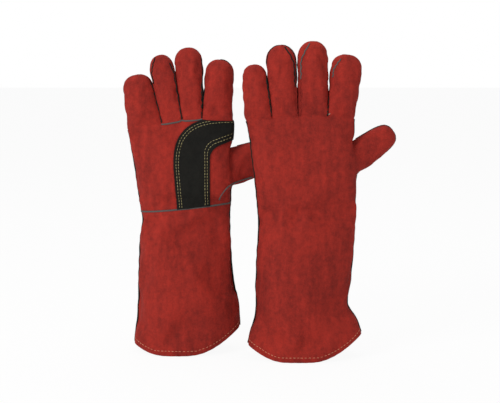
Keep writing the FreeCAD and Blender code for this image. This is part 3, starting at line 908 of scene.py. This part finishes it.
@dataclass(frozen=True)
class Patch:
    """The black reinforcement's outline: a band from the wrist, over the palm and round the index finger."""

    left: float
    right: float
    top: float
    notch: float
    reach: float = 74.0
    rise: float = 63.0
    squareness: float = 2.8
    bottom: float = 180.0
    stations: tuple[float, float] = (205.0, 225.0)
    lean: float = 4.4
    lean_height: float = 54.0
    slope: float = 20.0
    round: float = 13.0
    straight: float = 34.0
    overlap: float = 16.0
    tail: float = 48.0

    def outer(self, inset: float) -> list[tuple[float, float]]:
        """The outer edge from the wrist to the far side of the index finger, moved inwards by an inset."""
        centre_x, centre_z = self.left + self.reach, self.top - self.rise
        points = [(self.left + self.lean * (centre_z - z) / self.lean_height + inset, z)
                  for z in (self.bottom, *self.stations)]
        for step in range(31):
            turn = math.radians(3 * step)
            x = centre_x - (self.reach - inset) * math.cos(turn) ** (2 / self.squareness)
            z = centre_z + (self.rise - inset) * math.sin(turn) ** (2 / self.squareness)
            points.append((x, z))
        return points + [(centre_x + self.overlap, self.top - inset)]

    def inner(self, inset: float) -> list[tuple[float, float]]:
        """The inner edge, from the wrist up and then out under the index finger."""
        x, corner, grade = self.right - inset, self.notch + inset, math.tan(math.radians(self.slope))
        points = [(x, self.bottom), (x, corner - self.straight)]
        for step in range(9):
            share = step / 8
            across = self.round * share * share
            up = (1 - share) ** 2 * -self.round + share * share * self.round * grade
            points.append((x + across, corner + up))
        return points + [(x + self.tail, corner + self.tail * grade)]

    def cutter(self, glove: Glove) -> bpy.types.Object:
        """A prism of the outline, through the palm side only."""
        outline = self.outer(0) + self.inner(0)[::-1]
        deselect()
        bpy.ops.mesh.primitive_circle_add(vertices=len(outline), radius=0.05, fill_type="NGON")
        prism = bpy.context.object
        bpy.ops.object.mode_set(mode="EDIT")
        mesh = bmesh.from_edit_mesh(prism.data)
        for vertex, (x, z) in zip(mesh.verts, outline):
            vertex.co = glove.spot(x, z)
        bmesh.update_edit_mesh(prism.data)
        bpy.ops.mesh.select_all(action="SELECT")
        bpy.ops.mesh.extrude_region_move(TRANSFORM_OT_translate={"value": (0, glove.facing * 0.06, 0)})
        bpy.ops.mesh.select_all(action="SELECT")
        bpy.ops.mesh.normals_make_consistent(inside=False)
        bpy.ops.object.mode_set(mode="OBJECT")
        return prism


def walk(path: Sequence[tuple[float, float]], pitch: float) -> list[tuple[float, float, float]]:
    """Even steps along a path.

    Args:
        path: its points.
        pitch: the distance between steps.

    Returns:
        The place of each step and the path's angle there.
    """
    steps, due = [], pitch / 2
    for (x0, z0), (x1, z1) in zip(path, path[1:]):
        span = math.hypot(x1 - x0, z1 - z0)
        while due < span:
            steps.append((lerp(x0, x1, due / span), lerp(z0, z1, due / span), math.atan2(z1 - z0, x1 - x0)))
            due += pitch
        due -= span
    return steps


def one_stitch(length: float, width: float) -> bpy.types.Object:
    """Models one stitch: a flattened bead of thread, in millimetres, that lies along X."""
    deselect()
    bpy.ops.mesh.primitive_uv_sphere_add(segments=6, ring_count=5, radius=0.5 * MM)
    bead = bpy.context.object
    bpy.ops.object.mode_set(mode="EDIT")
    bpy.ops.mesh.select_all(action="SELECT")
    bpy.ops.transform.rotate(value=math.pi / 2, orient_axis="Y", center_override=(0, 0, 0))
    bpy.ops.transform.resize(value=(length, width, width * STITCH_FLATNESS))
    bpy.ops.object.mode_set(mode="OBJECT")
    return bead


def copies(name: str, pattern: bpy.types.Object, places: list[Matrix]) -> bpy.types.Object:
    """Copies a small mesh to many places as one object, and removes the pattern."""
    joined = bmesh.new()
    for place in places:
        single = pattern.data.copy()
        single.transform(place)
        joined.from_mesh(single)
        bpy.data.meshes.remove(single)
    mesh = bpy.data.meshes.new(name)
    joined.to_mesh(mesh)
    joined.free()
    obj = bpy.data.objects.new(name, mesh)
    bpy.context.collection.objects.link(obj)
    bpy.data.objects.remove(pattern)
    return obj


class Leatherwork:
    """Turns the panels of one glove into finished pieces; only the gusset, the root welt and the hem stitches
    are parented to the frame's bodies.
    """

    def __init__(self, glove: Glove, shell: bpy.types.Object) -> None:
        """Keeps the glove and the whole sleeve."""
        self.glove, self.shell = glove, shell
        self.side = glove.side
        self.palm, self.back = ("FRONT", "BACK") if glove.facing < 0 else ("BACK", "FRONT")
        self.surface = tree_of(shell)

    def finish(self, inner: bpy.types.Object) -> None:
        """Finishes every piece of the glove.

        Args:
            inner: the sleeve that the lining is made from.
        """
        self.linings(inner)
        panels = cut_apart(self.shell)
        self.patch(panels[Zone[f"HAND_{self.palm}"]])
        self.leather(panels)
        self.seams()
        self.hem_stitches()

    # ------------------------------------------------------------ placing

    def over_wrist(self, piece: bpy.types.Object) -> None:
        """Bakes a piece of the cuff or the hand in place; the wrist's hinge is read, but nothing makes the
        piece bend.
        """
        joint = self.glove.joint("wrist")
        hinge, slope = Vector(joint["pos_m"]), Vector(joint["axis"])
        up = slope.cross(Vector((0, 1, 0)))
        up = up if up.z > 0 else -up
        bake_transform(piece)

    def over_root(self, piece: bpy.types.Object, digit: Digit) -> None:
        """Bakes a piece of a digit in place; its root is read, but nothing makes the piece bend."""
        along, _ = self.glove.stalls[digit].directions()
        hinge = Vector(self.glove.joint(digit.word)["pos_m"])
        root = self.glove.thumb_root() if digit is Digit.THUMB else hinge
        low, high = root + along * 0.003, root + along * 0.03
        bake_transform(piece)

    def attach(self, piece: bpy.types.Object, zone: Zone) -> None:
        """Parents a gusset to the hand's body, and bakes every other piece in place."""
        if zone is Zone.GUSSET:
            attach(piece, f"{self.side}_hand")
        elif zone.value < Zone.GUSSET.value:
            self.over_wrist(piece)
        else:
            self.over_root(piece, Digit[zone.name.split("_")[0]])

    # ------------------------------------------------------------ leather and lining

    def leather(self, panels: dict[Zone, bpy.types.Object]) -> None:
        """Gives every panel its thickness and finish, hides the frame's part it stands for, and bakes it in
        place or parents it (the gusset) to the hand.
        """
        side, words = self.side, {self.palm: "palm", self.back: "back", "SIDE": "fourchette"}
        for zone, panel in panels.items():
            part, _, face = zone.name.partition("_")
            key = {"CUFF": f"{side}_gauntlet_", "HAND": f"{side}_"}.get(part, f"{side}_{part.lower()}_")
            if zone is Zone.GUSSET:
                node = f"{side}_thumb_gusset"
            else:
                node = key + words[face] + ("" if face == "SIDE" else "_panel")
            panel.name = panel.data.name = f"{node}_leather"
            modify(panel, "SOLIDIFY", thickness=self.glove.leather * MM, offset=-1, use_rim=True)
            dress(panel, Finish.RED)
            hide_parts(node)
            self.attach(panel, zone)
            LOG.info("%s: %d faces", panel.name, len(panel.data.polygons))

    def at_hem(self, face: bmesh.types.BMFace) -> bool:
        """Whether a face is too near the hem for the lining to reach it."""
        middle = face.calc_center_median()
        return middle.z / MM < self.glove.hem_at((middle.x - self.glove.centre_x) / MM) + LINING_INSET

    def linings(self, inner: bpy.types.Object) -> None:
        """Makes the lining as a smaller sleeve inside the leather, cut where the joints are."""
        groups = {"gauntlet": ("CUFF",), "hand": ("HAND", "GUSSET")}
        groups.update({digit.word: (digit.name,) for digit in Digit})
        modify(inner, "SMOOTH", factor=0.5, iterations=2)
        modify(inner, "DISPLACE", strength=-(self.glove.leather + LINING_GAP) * MM, mid_level=0)
        for word, parts in groups.items():
            piece = duplicate(inner, f"{self.side}_{word}_lining_cotton")
            keep = {zone.value for zone in Zone if zone.name.split("_")[0] in parts}
            cut_off(piece, lambda face: self.at_hem(face) or face.material_index not in keep)
            modify(piece, "SOLIDIFY", thickness=LINING_THICKNESS * MM, offset=-1, use_rim=True)
            dress(piece, Finish.LINING)
            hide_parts(f"{self.side}_{word}_lining")
            if word in ("gauntlet", "hand"):
                self.over_wrist(piece)
            else:
                self.over_root(piece, Digit[word.upper()])
            LOG.info("%s: %d faces", piece.name, len(piece.data.polygons))
        bpy.data.objects.remove(inner)

    # ------------------------------------------------------------ patch and stitches

    def patch(self, palm: bpy.types.Object) -> None:
        """Cuts the black patch out of a raised copy of the palm and sews it down."""
        piece = duplicate(palm, f"{self.side}_reinforcement_suede")
        edge = self.glove.centre_x + (self.glove.patch.left - PATCH_MARGIN) * MM
        cut_off(piece, lambda face: face.calc_center_median().x < edge)
        modify(piece, "DISPLACE", strength=PATCH_LIFT * MM, mid_level=0)
        modify(piece, "SOLIDIFY", thickness=PATCH_THICKNESS * MM, offset=1, use_rim=True)
        cutter = self.glove.patch.cutter(self.glove)
        modify(piece, "BOOLEAN", operation="INTERSECT", solver="EXACT", use_self=True, object=cutter)
        bpy.data.objects.remove(cutter)
        dress(piece, Finish.PATCH, 40)
        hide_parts(f"{self.side}_reinforcement_patch")
        self.over_wrist(piece)
        LOG.info("%s: %d faces", piece.name, len(piece.data.polygons))
        places = []
        for inset in PATCH_ROWS:
            for path in (self.glove.patch.outer(inset), self.glove.patch.inner(inset)):
                places += self.places_on_palm(walk(path, PATCH_PITCH))
        row = copies(f"{self.side}_patch_stitches", one_stitch(*PATCH_STITCH), places)
        dress(row, Finish.KHAKI)
        self.over_wrist(row)

    def places_on_palm(self, steps: list[tuple[float, float, float]]) -> list[Matrix]:
        """Where stitches lie on the patch, for steps in the glove's own plane."""
        glove, places = self.glove, []
        top = glove.wrist_height + 1.5
        for x, z, turn in steps:
            if z < top + 0.1 * x or z > glove.knuckle_at(x) - 3.0:
                continue
            start = glove.spot(x, z, glove.facing * FAR)
            hit, normal, _, _ = self.surface.ray_cast(start, Vector((0, -glove.facing, 0)))
            if hit is None or normal.y * glove.facing < 0.25:
                continue
            along = Vector((math.cos(turn), 0, math.sin(turn)))
            places.append(laid(hit + normal * 1.5 * MM, normal, along))
        return places

    def hem_stitches(self) -> None:
        """Sews one row of pale stitches all the way round above the hem."""
        glove, places, last = self.glove, [], None
        for step in range(720):
            turn = math.radians(step / 2)
            aim = Vector((math.cos(turn), 0.6 * math.sin(turn), 0)).normalized()
            z = 40.0
            hit = None
            for _ in range(3):
                hit, normal, _, _ = self.surface.ray_cast(glove.spot(0, z), aim)
                if hit is None:
                    break
                z = glove.hem_at((hit.x - glove.centre_x) / MM) + HEM_ROW
            if hit is None or (last is not None and (hit - last).length < HEM_PITCH * MM):
                continue
            if last is not None:
                outward = normal if normal.dot(aim) > 0 else -normal
                places.append(laid(hit + outward * 0.1 * MM, outward, hit - last))
            last = hit.copy()
        row = copies(f"{self.side}_hem_stitches", one_stitch(*HEM_STITCH), places)
        dress(row, Finish.PEACH)
        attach(row, f"{self.side}_gauntlet")

    # ------------------------------------------------------------ welts

    def welt(self, name: str, pairs: Sequence[tuple[str, str]], radius: float, nodes: Sequence[str],
             place: Callable[[bpy.types.Object], None], keep: Callable[[float, float], bool] | None = None,
             finish: Finish = Finish.DARK_WELT) -> None:
        """Sews a round strip into the seam between zones.

        Args:
            name: the piece's name, without the glove's side.
            pairs: pairs of zone names whose common edges it follows.
            radius: its radius in millimetres.
            nodes: the frame's nodes that it stands for.
            place: bakes the piece in place, or parents it to a body.
            keep: which part of the seam it covers, by x and z in the glove's own plane.
            finish: its leather: the dark welt leather, or the grey-green copy that is partly a painted
                highlight.
        """
        glove = self.glove
        wanted = {frozenset((Zone[a].value, Zone[b].value)) for a, b in pairs}
        strip = duplicate(self.shell, f"{self.side}_{name}")
        activate(strip)
        bpy.ops.object.mode_set(mode="EDIT")
        bpy.ops.mesh.select_mode(type="EDGE")
        mesh = bmesh.from_edit_mesh(strip.data)
        chosen = 0
        for element in (*mesh.faces, *mesh.edges, *mesh.verts):
            element.select = True
        for edge in mesh.edges:
            middle = (edge.verts[0].co + edge.verts[1].co) / 2
            inside = keep is None or keep((middle.x - glove.centre_x) / MM, middle.z / MM)
            if inside and frozenset(f.material_index for f in edge.link_faces) in wanted:
                edge.select = False
                chosen += 1
        bmesh.update_edit_mesh(strip.data)
        bpy.ops.mesh.delete(type="EDGE_FACE")
        bpy.ops.object.mode_set(mode="OBJECT")
        if not chosen:
            bpy.data.objects.remove(strip)
            LOG.info("no seam for %s", name)
            return
        bpy.ops.object.convert(target="CURVE")
        strip = bpy.context.object
        strip.data.bevel_depth = radius * MM
        strip.data.bevel_resolution = 2
        strip.data.use_fill_caps = True
        bpy.ops.object.convert(target="MESH")
        strip = bpy.context.object
        strip.name = strip.data.name = f"{self.side}_{name}"
        dress(strip, finish)
        if nodes:
            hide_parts(*nodes)
        place(strip)
        LOG.info("%s: %d faces", strip.name, len(strip.data.polygons))

    def seams(self) -> None:
        """Puts a welt into each seam that has one."""
        side, palm, glove, bend = self.side, self.palm, self.glove, self.over_wrist
        cuff_edge, hand_edge = [("CUFF_FRONT", "CUFF_BACK")], [("HAND_FRONT", "HAND_BACK")]
        wrist = [(f"CUFF_{palm}", f"HAND_{palm}")]
        roots = [(f"HAND_{palm}", f"RING_{palm}"), (f"HAND_{palm}", f"MIDDLE_{palm}")]
        self.welt("cuff_side_welts", cuff_edge, EDGE_WELT, [f"{side}_gauntlet_side_welts"], bend)
        self.welt("hand_edge_welts", hand_edge, EDGE_WELT, [f"{side}_hand_side_welts"], bend)
        # The wrist strip and the root welt take the grey-green welt copy, which is partly their grey-green
        # edge and partly a painted highlight.
        self.welt("wrist_strip", wrist, WRIST_WELT, [f"{side}_wrist_welt"], bend, finish=Finish.WELT)
        self.welt("root_welt", roots, ROOT_WELT, [],
                  lambda piece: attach(piece, f"{side}_hand"), finish=Finish.WELT)
        for digit in (Digit.LITTLE, Digit.RING, Digit.MIDDLE, Digit.INDEX):
            for face, reaches in ((self.palm, glove.palm_welts), (self.back, glove.back_welts)):
                for flank, low, high in reaches.get(digit, ()):
                    self.finger_welt(digit, face, flank, low, high)
        self.welt("thumb_edge_welt", [("THUMB_FRONT", "THUMB_BACK")], FINGER_WELT, [],
                  lambda piece: self.over_root(piece, Digit.THUMB))
        # The thumb seam welt takes the grey-green welt copy too: partly its grey-green edge, partly a painted
        # highlight.
        self.laid_welt("thumb_seam_welt", glove.thumb_seam, glove.facing, Digit.THUMB, Finish.WELT,
                       THUMB_SEAM_WELT)
        self.finger_lines()

    def finger_lines(self) -> None:
        """Sews the welts that show beside the edges of the fingers, where panel and fourchette meet."""
        glove, steps = self.glove, 14
        for word, toward, lines in (
            ("palm", glove.facing, glove.palm_lines), ("back", -glove.facing, glove.back_lines),
        ):
            for digit, flank, inset, low, high, finish in lines:
                stall = glove.stalls[digit]
                along, across = stall.directions()
                x, z = glove.knuckles[digit.value + 1]
                path = []
                for step in range(steps + 1):
                    share = lerp(low, high, step / steps)
                    half = lerp(stall.root, stall.tip, share) * min(1.0, 1.9 * (1.02 - share) ** 0.5)
                    aside = flank * (half - inset + 0.7 * math.sin(2.4 * step)) * FULLNESS
                    up = stall.length * share
                    path.append((x + along.x * up + across.x * aside, z + along.z * up + across.z * aside))
                name = f"{digit.word}_{word}_line_{'left' if flank < 0 else 'right'}_{round(100 * low)}"
                self.laid_welt(name, path, toward, digit, finish, LINE_WELT)

    def laid_welt(self, name: str, path: Sequence[tuple[float, float]], toward: int, digit: Digit,
                  finish: Finish, radius: float) -> None:
        """Lays a thin welt on the leather of a digit.

        Args:
            name: the piece's name, without the glove's side.
            path: its points in the glove's own plane.
            toward: the direction along Y that it faces.
            digit: the digit at whose root it is baked in place; it does not bend.
            finish: its leather: red, the dark welt leather, or the grey-green welt copy that is partly a
                painted highlight.
            radius: its radius in millimetres.
        """
        points = []
        for x, z in path:
            start = self.glove.spot(x, z, toward * FAR)
            hit, normal, _, _ = self.surface.ray_cast(start, Vector((0, -toward, 0)))
            if hit is not None:
                points.append(hit + normal * 0.2 * MM)
        curve = bpy.data.curves.new(f"{self.side}_{name}", "CURVE")
        curve.dimensions = "3D"
        spline = curve.splines.new("NURBS")
        spline.points.add(len(points) - 1)
        for place, point in zip(spline.points, points):
            place.co = (*point, 1)
        spline.order_u = 3
        spline.use_endpoint_u = True
        curve.bevel_depth, curve.use_fill_caps = radius * MM, True
        strip = bpy.data.objects.new(curve.name, curve)
        bpy.context.collection.objects.link(strip)
        activate(strip)
        bpy.ops.object.convert(target="MESH")
        strip = bpy.context.object
        dress(strip, finish)
        self.over_root(strip, digit)
        LOG.info("%s: %d faces", strip.name, len(strip.data.polygons))

    def finger_welt(self, digit: Digit, face: str, flank: int, low: float, high: float) -> None:
        """Sews a thin welt along part of one flank of a finger.

        Args:
            digit: the finger.
            face: FRONT or BACK.
            flank: -1 for its left flank, 1 for its right, 0 for both.
            low: where the welt starts, as a share of the finger's length.
            high: where it ends, as the same share.
        """
        glove, stall = self.glove, self.glove.stalls[digit]
        along, across = stall.directions()
        root = glove.spot(*glove.knuckles[digit.value + 1])

        def keep(x: float, z: float) -> bool:
            """Whether a place is on this flank, between the two ends."""
            reach = glove.spot(x, z) - root
            share = reach.dot(along) / (stall.length * MM)
            return low <= share <= high and (flank == 0 or reach.dot(across) * flank > 0)

        word = "palm" if face == self.palm else "back"
        name = f"{digit.word}_{word}_welt_{'lbr'[flank + 1]}{round(100 * high)}"
        # On the middle finger's back the welt takes the grey-green copy: partly its grey-green edge, partly a
        # painted highlight.
        finish = Finish.WELT if digit is Digit.MIDDLE and face == self.back else Finish.DARK_WELT
        self.welt(name, [(f"{digit.name}_{face}", f"{digit.name}_SIDE")], FINGER_WELT, [],
                  lambda piece: self.over_root(piece, digit), keep, finish)


def laid(at: Vector, normal: Vector, along: Vector) -> Matrix:
    """The place of something small that lies on a surface.

    Args:
        at: its middle.
        normal: the surface's outward direction.
        along: roughly the direction it lies in.

    Returns:
        A matrix that takes X along it and Z outwards.
    """
    across = normal.cross(along).normalized()
    forward = across.cross(normal).normalized()
    return Matrix.Translation(at) @ Matrix((forward, across, normal)).transposed().to_4x4()


# ---------------------------------------------------------------- stage


@dataclass
class Studio:
    """Pale floor and backdrop, soft lamps and the camera."""

    elevation: float = 8.0
    distance: float = 1.8
    lens: float = 100.0
    aim: tuple[float, float, float] = (-0.0155, 0.0, 0.1993)
    floor_size: float = 12.0
    floor_drop: float = 0.0006
    floor_glow: float = 0.93
    daylight: float = 0.45

    def build(self) -> None:
        """Sets up the stage."""
        scene = bpy.context.scene
        scene.view_settings.view_transform = "Standard"
        self.floor()
        self.sky()
        self.lamps()
        self.camera()

    def floor(self) -> None:
        """A wide white floor that shows white to the camera but keeps soft shadows."""
        deselect()
        bpy.ops.mesh.primitive_plane_add(size=self.floor_size, location=(0, 0, -self.floor_drop))
        floor = bpy.context.object
        floor.name = "floor"
        shader = Shader("floor_white")
        shader.surface.inputs["Base Color"].default_value = (0.95, 0.95, 0.95, 1)
        shader.surface.inputs["Roughness"].default_value = 0.9
        glow = shader.node("ShaderNodeEmission", {}, {"Color": (1, 1, 1, 1), "Strength": 1.0}, 0)
        seen = shader.node("ShaderNodeLightPath", {}, {}, "Is Camera Ray")
        plain = Wire(shader, shader.surface.outputs[0])
        mixed = shader.node("ShaderNodeMixShader", {}, (seen * self.floor_glow, plain, glow))
        shader.plug(shader.tree.nodes["Material Output"].inputs["Surface"], mixed)
        floor.data.materials.append(shader.material)

    def sky(self) -> None:
        """A soft even light from all round, which the camera sees as white."""
        world = bpy.data.worlds.new("studio")
        world.use_nodes = True
        bpy.context.scene.world = world
        tree = world.node_tree
        background = tree.nodes["Background"]
        seen = tree.nodes.new("ShaderNodeBackground")
        for node, strength in ((background, self.daylight), (seen, 1.0)):
            node.inputs["Color"].default_value = (1, 1, 1, 1)
            node.inputs["Strength"].default_value = strength
        rays, mix = tree.nodes.new("ShaderNodeLightPath"), tree.nodes.new("ShaderNodeMixShader")
        output = tree.nodes["World Output"]
        tree.links.new(rays.outputs["Is Camera Ray"], mix.inputs[0])
        tree.links.new(background.outputs[0], mix.inputs[1])
        tree.links.new(seen.outputs[0], mix.inputs[2])
        tree.links.new(mix.outputs[0], output.inputs["Surface"])

    def lamps(self) -> None:
        """A large soft key lamp from the upper left, a fill and a lamp from above."""
        for name, place, size, power in (
            ("key", (-1.5, -1.5, 1.3), 1.0, 27), ("fill", (1.5, -1.6, 0.8), 1.4, 4),
            ("top", (0.0, 0.5, 1.9), 1.6, 9),
        ):
            data = bpy.data.lights.new(name, "AREA")
            data.energy, data.size = power, size
            lamp = bpy.data.objects.new(name, data)
            lamp.location = place
            lamp.rotation_euler = (Vector((0, 0, 0.2)) - Vector(place)).to_track_quat("-Z", "Y").to_euler()
            bpy.context.collection.objects.link(lamp)

    def camera(self) -> None:
        """The camera, a little above the middle of the gloves and level with the wrists."""
        data = bpy.data.cameras.new("camera")
        data.lens = self.lens
        camera = bpy.data.objects.new("camera", data)
        tilt = math.radians(self.elevation)
        aim = Vector(self.aim)
        camera.location = aim + Vector((0, -math.cos(tilt), math.sin(tilt))) * self.distance
        camera.rotation_euler = (aim - camera.location).to_track_quat("-Z", "Y").to_euler()
        bpy.context.collection.objects.link(camera)
        bpy.context.scene.camera = camera


# ---------------------------------------------------------------- the pair


def right_glove() -> Glove:
    """The right-hand glove, which shows its palm."""
    return Glove(
        side="right", facing=-1,
        cuff=(
            Ring(0, -69, 69, 84), Ring(30, -66, 68, 80), Ring(62, -64, 64.5, 76), Ring(95, -63, 60.5, 71),
            Ring(128, -62, 57.5, 66, 1.5), Ring(156, -60.5, 56, 60, 3.5), Ring(177, -56, 56, 56, 5.2),
            Ring(191.6, -58.5, 57, 54, 5.7),
        ),
        hand=(
            Ring(203, -60.5, 57.5, 53, 5), Ring(218, -63, 58, 52, 2.5), Ring(243, -66.5, 57.5, 47, 0.5),
            Ring(268, -70.5, 58.5, 42, 0.5), Ring(286, -73, 60, 38, 2.5),
        ),
        knuckles=((-75, 291), (-52, 295.5), (-29, 300), (-17, 303), (-4.5, 305.3), (8, 306.5), (20.5, 307),
                  (40, 306.5), (60.5, 305)),
        knuckle_depth=35,
        stalls={
            Digit.LITTLE: Stall(22.5, 20.5, 18.5, 68, 29, 10.8),
            Digit.RING: Stall(13.5, 15.5, 15.5, 86.5, 30, 11.4),
            Digit.MIDDLE: Stall(13.5, 16.5, 18.0, 91, 31, 3.4),
            Digit.INDEX: Stall(19.5, 18.0, 18.0, 75.5, 31, -3.6),
            Digit.THUMB: Stall(25, 22, 18, 65, 28, -71),
        },
        hem_low=-14, hem_radius=115, thumb_rings=(2, 4), thumb_back=4,
        patch=Patch(-15.4, 31.6, 308.6, 268),
        thumb_seam=((43.2, 202), (44.5, 207), (51.4, 216), (56, 220), (61, 222.5), (66, 224), (73.4, 226),
                    (86, 229.5)),
        palm_welts={Digit.MIDDLE: ((1, -0.1, 0.85),), Digit.INDEX: ((-1, -0.1, 0.5), (1, 0.93, 1.1))},
        back_welts={},
        palm_lines=(
            (Digit.LITTLE, 1, 1.5, 0.02, 0.8, Finish.DARK_WELT),
            (Digit.RING, -1, 1.8, 0.6, 0.97, Finish.DARK_WELT),
            (Digit.RING, 1, 1.5, 0.0, 0.85, Finish.DARK_WELT),
            (Digit.MIDDLE, 1, 1.2, 0.0, 0.5, Finish.DARK_WELT),
        ),
        back_lines=(
            (Digit.RING, 1, 3.0, 0.45, 0.95, Finish.DARK_WELT),
            # The grey-green welt line here is partly its grey-green edge, partly a painted highlight.
            (Digit.MIDDLE, -1, 3.5, 0.45, 0.96, Finish.WELT),
            (Digit.LITTLE, 1, 2.5, 0.1, 0.8, Finish.DARK_WELT),
        ),
    )


def left_glove() -> Glove:
    """The left-hand glove, which shows its back."""
    return Glove(
        side="left", facing=1,
        cuff=(
            Ring(0, -73, 73, 84), Ring(26, -67, 66, 79), Ring(53, -62.5, 52.5, 74), Ring(90, -63, 57.5, 70),
            Ring(125, -62, 61, 64, 1.5), Ring(158, -60, 63, 57, 3.5), Ring(180, -59.5, 63.5, 52, 5.2),
            Ring(191.6, -60, 63.5, 50, 5.7),
        ),
        hand=(
            Ring(212, -62, 64, 49, 4), Ring(238, -65, 63.5, 45, 1), Ring(260, -68, 62, 41, 0.5),
            Ring(282, -70.5, 61, 38, 0.5), Ring(297, -73, 61, 36, 0.5),
        ),
        knuckles=((-75.5, 305.5), (-59, 306.8), (-42.8, 308), (-26.5, 310), (-10.2, 311), (8.5, 311.5),
                  (27.2, 311.7), (44, 310.5), (61, 308.5)),
        knuckle_depth=35,
        stalls={
            Digit.LITTLE: Stall(17.5, 17, 15, 70.5, 28, 6.4),
            Digit.RING: Stall(16.5, 18, 19, 91.5, 30, 4.1),
            Digit.MIDDLE: Stall(19.0, 19, 19, 95, 31, 0.0),
            Digit.INDEX: Stall(17.5, 18.5, 19.5, 79.5, 31, -6.4),
            Digit.THUMB: Stall(19.5, 18, 15.5, 56, 28, -55),
        },
        hem_low=-9, hem_radius=115, thumb_rings=(2, 4), thumb_back=5,
        patch=Patch(-12.0, 36.0, 311.0, 276),
        thumb_seam=((45, 204), (48, 212), (54, 224), (60, 234), (66, 241), (76, 249), (88, 258)),
        palm_welts={Digit.MIDDLE: ((1, -0.1, 0.85),)},
        back_welts={Digit.RING: ((1, 0.5, 1.05), (-1, 0.75, 1.05)), Digit.LITTLE: ((1, 0.1, 0.8),)},
        palm_lines=(
            (Digit.LITTLE, 1, 1.5, 0.02, 0.8, Finish.DARK_WELT),
            (Digit.RING, 1, 1.5, 0.0, 0.85, Finish.DARK_WELT),
            (Digit.MIDDLE, 1, 1.2, 0.0, 0.5, Finish.DARK_WELT),
        ),
        back_lines=(
            (Digit.LITTLE, 1, 2.0, 0.05, 0.75, Finish.DARK_WELT),
            (Digit.RING, 1, 3.2, 0.42, 0.97, Finish.DARK_WELT),
            # The grey-green welt lines are partly their grey-green edge, partly a painted highlight.
            (Digit.RING, 1, 2.0, 0.0, 0.4, Finish.RED), (Digit.MIDDLE, -1, 4.5, 0.5, 0.97, Finish.WELT),
            (Digit.MIDDLE, -1, 4.0, 0.02, 0.48, Finish.RED), (Digit.INDEX, -1, 3.5, 0.62, 0.92, Finish.WELT),
            (Digit.INDEX, -1, 1.0, 0.0, 0.3, Finish.DARK_WELT),
        ),
    )


def main() -> None:
    """Builds both gloves and the studio."""
    logging.basicConfig(level=logging.INFO, format="%(message)s")
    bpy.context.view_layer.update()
    Studio().build()
    for glove in (right_glove(), left_glove()):
        glove.build()


if __name__ == "__main__":
    main()
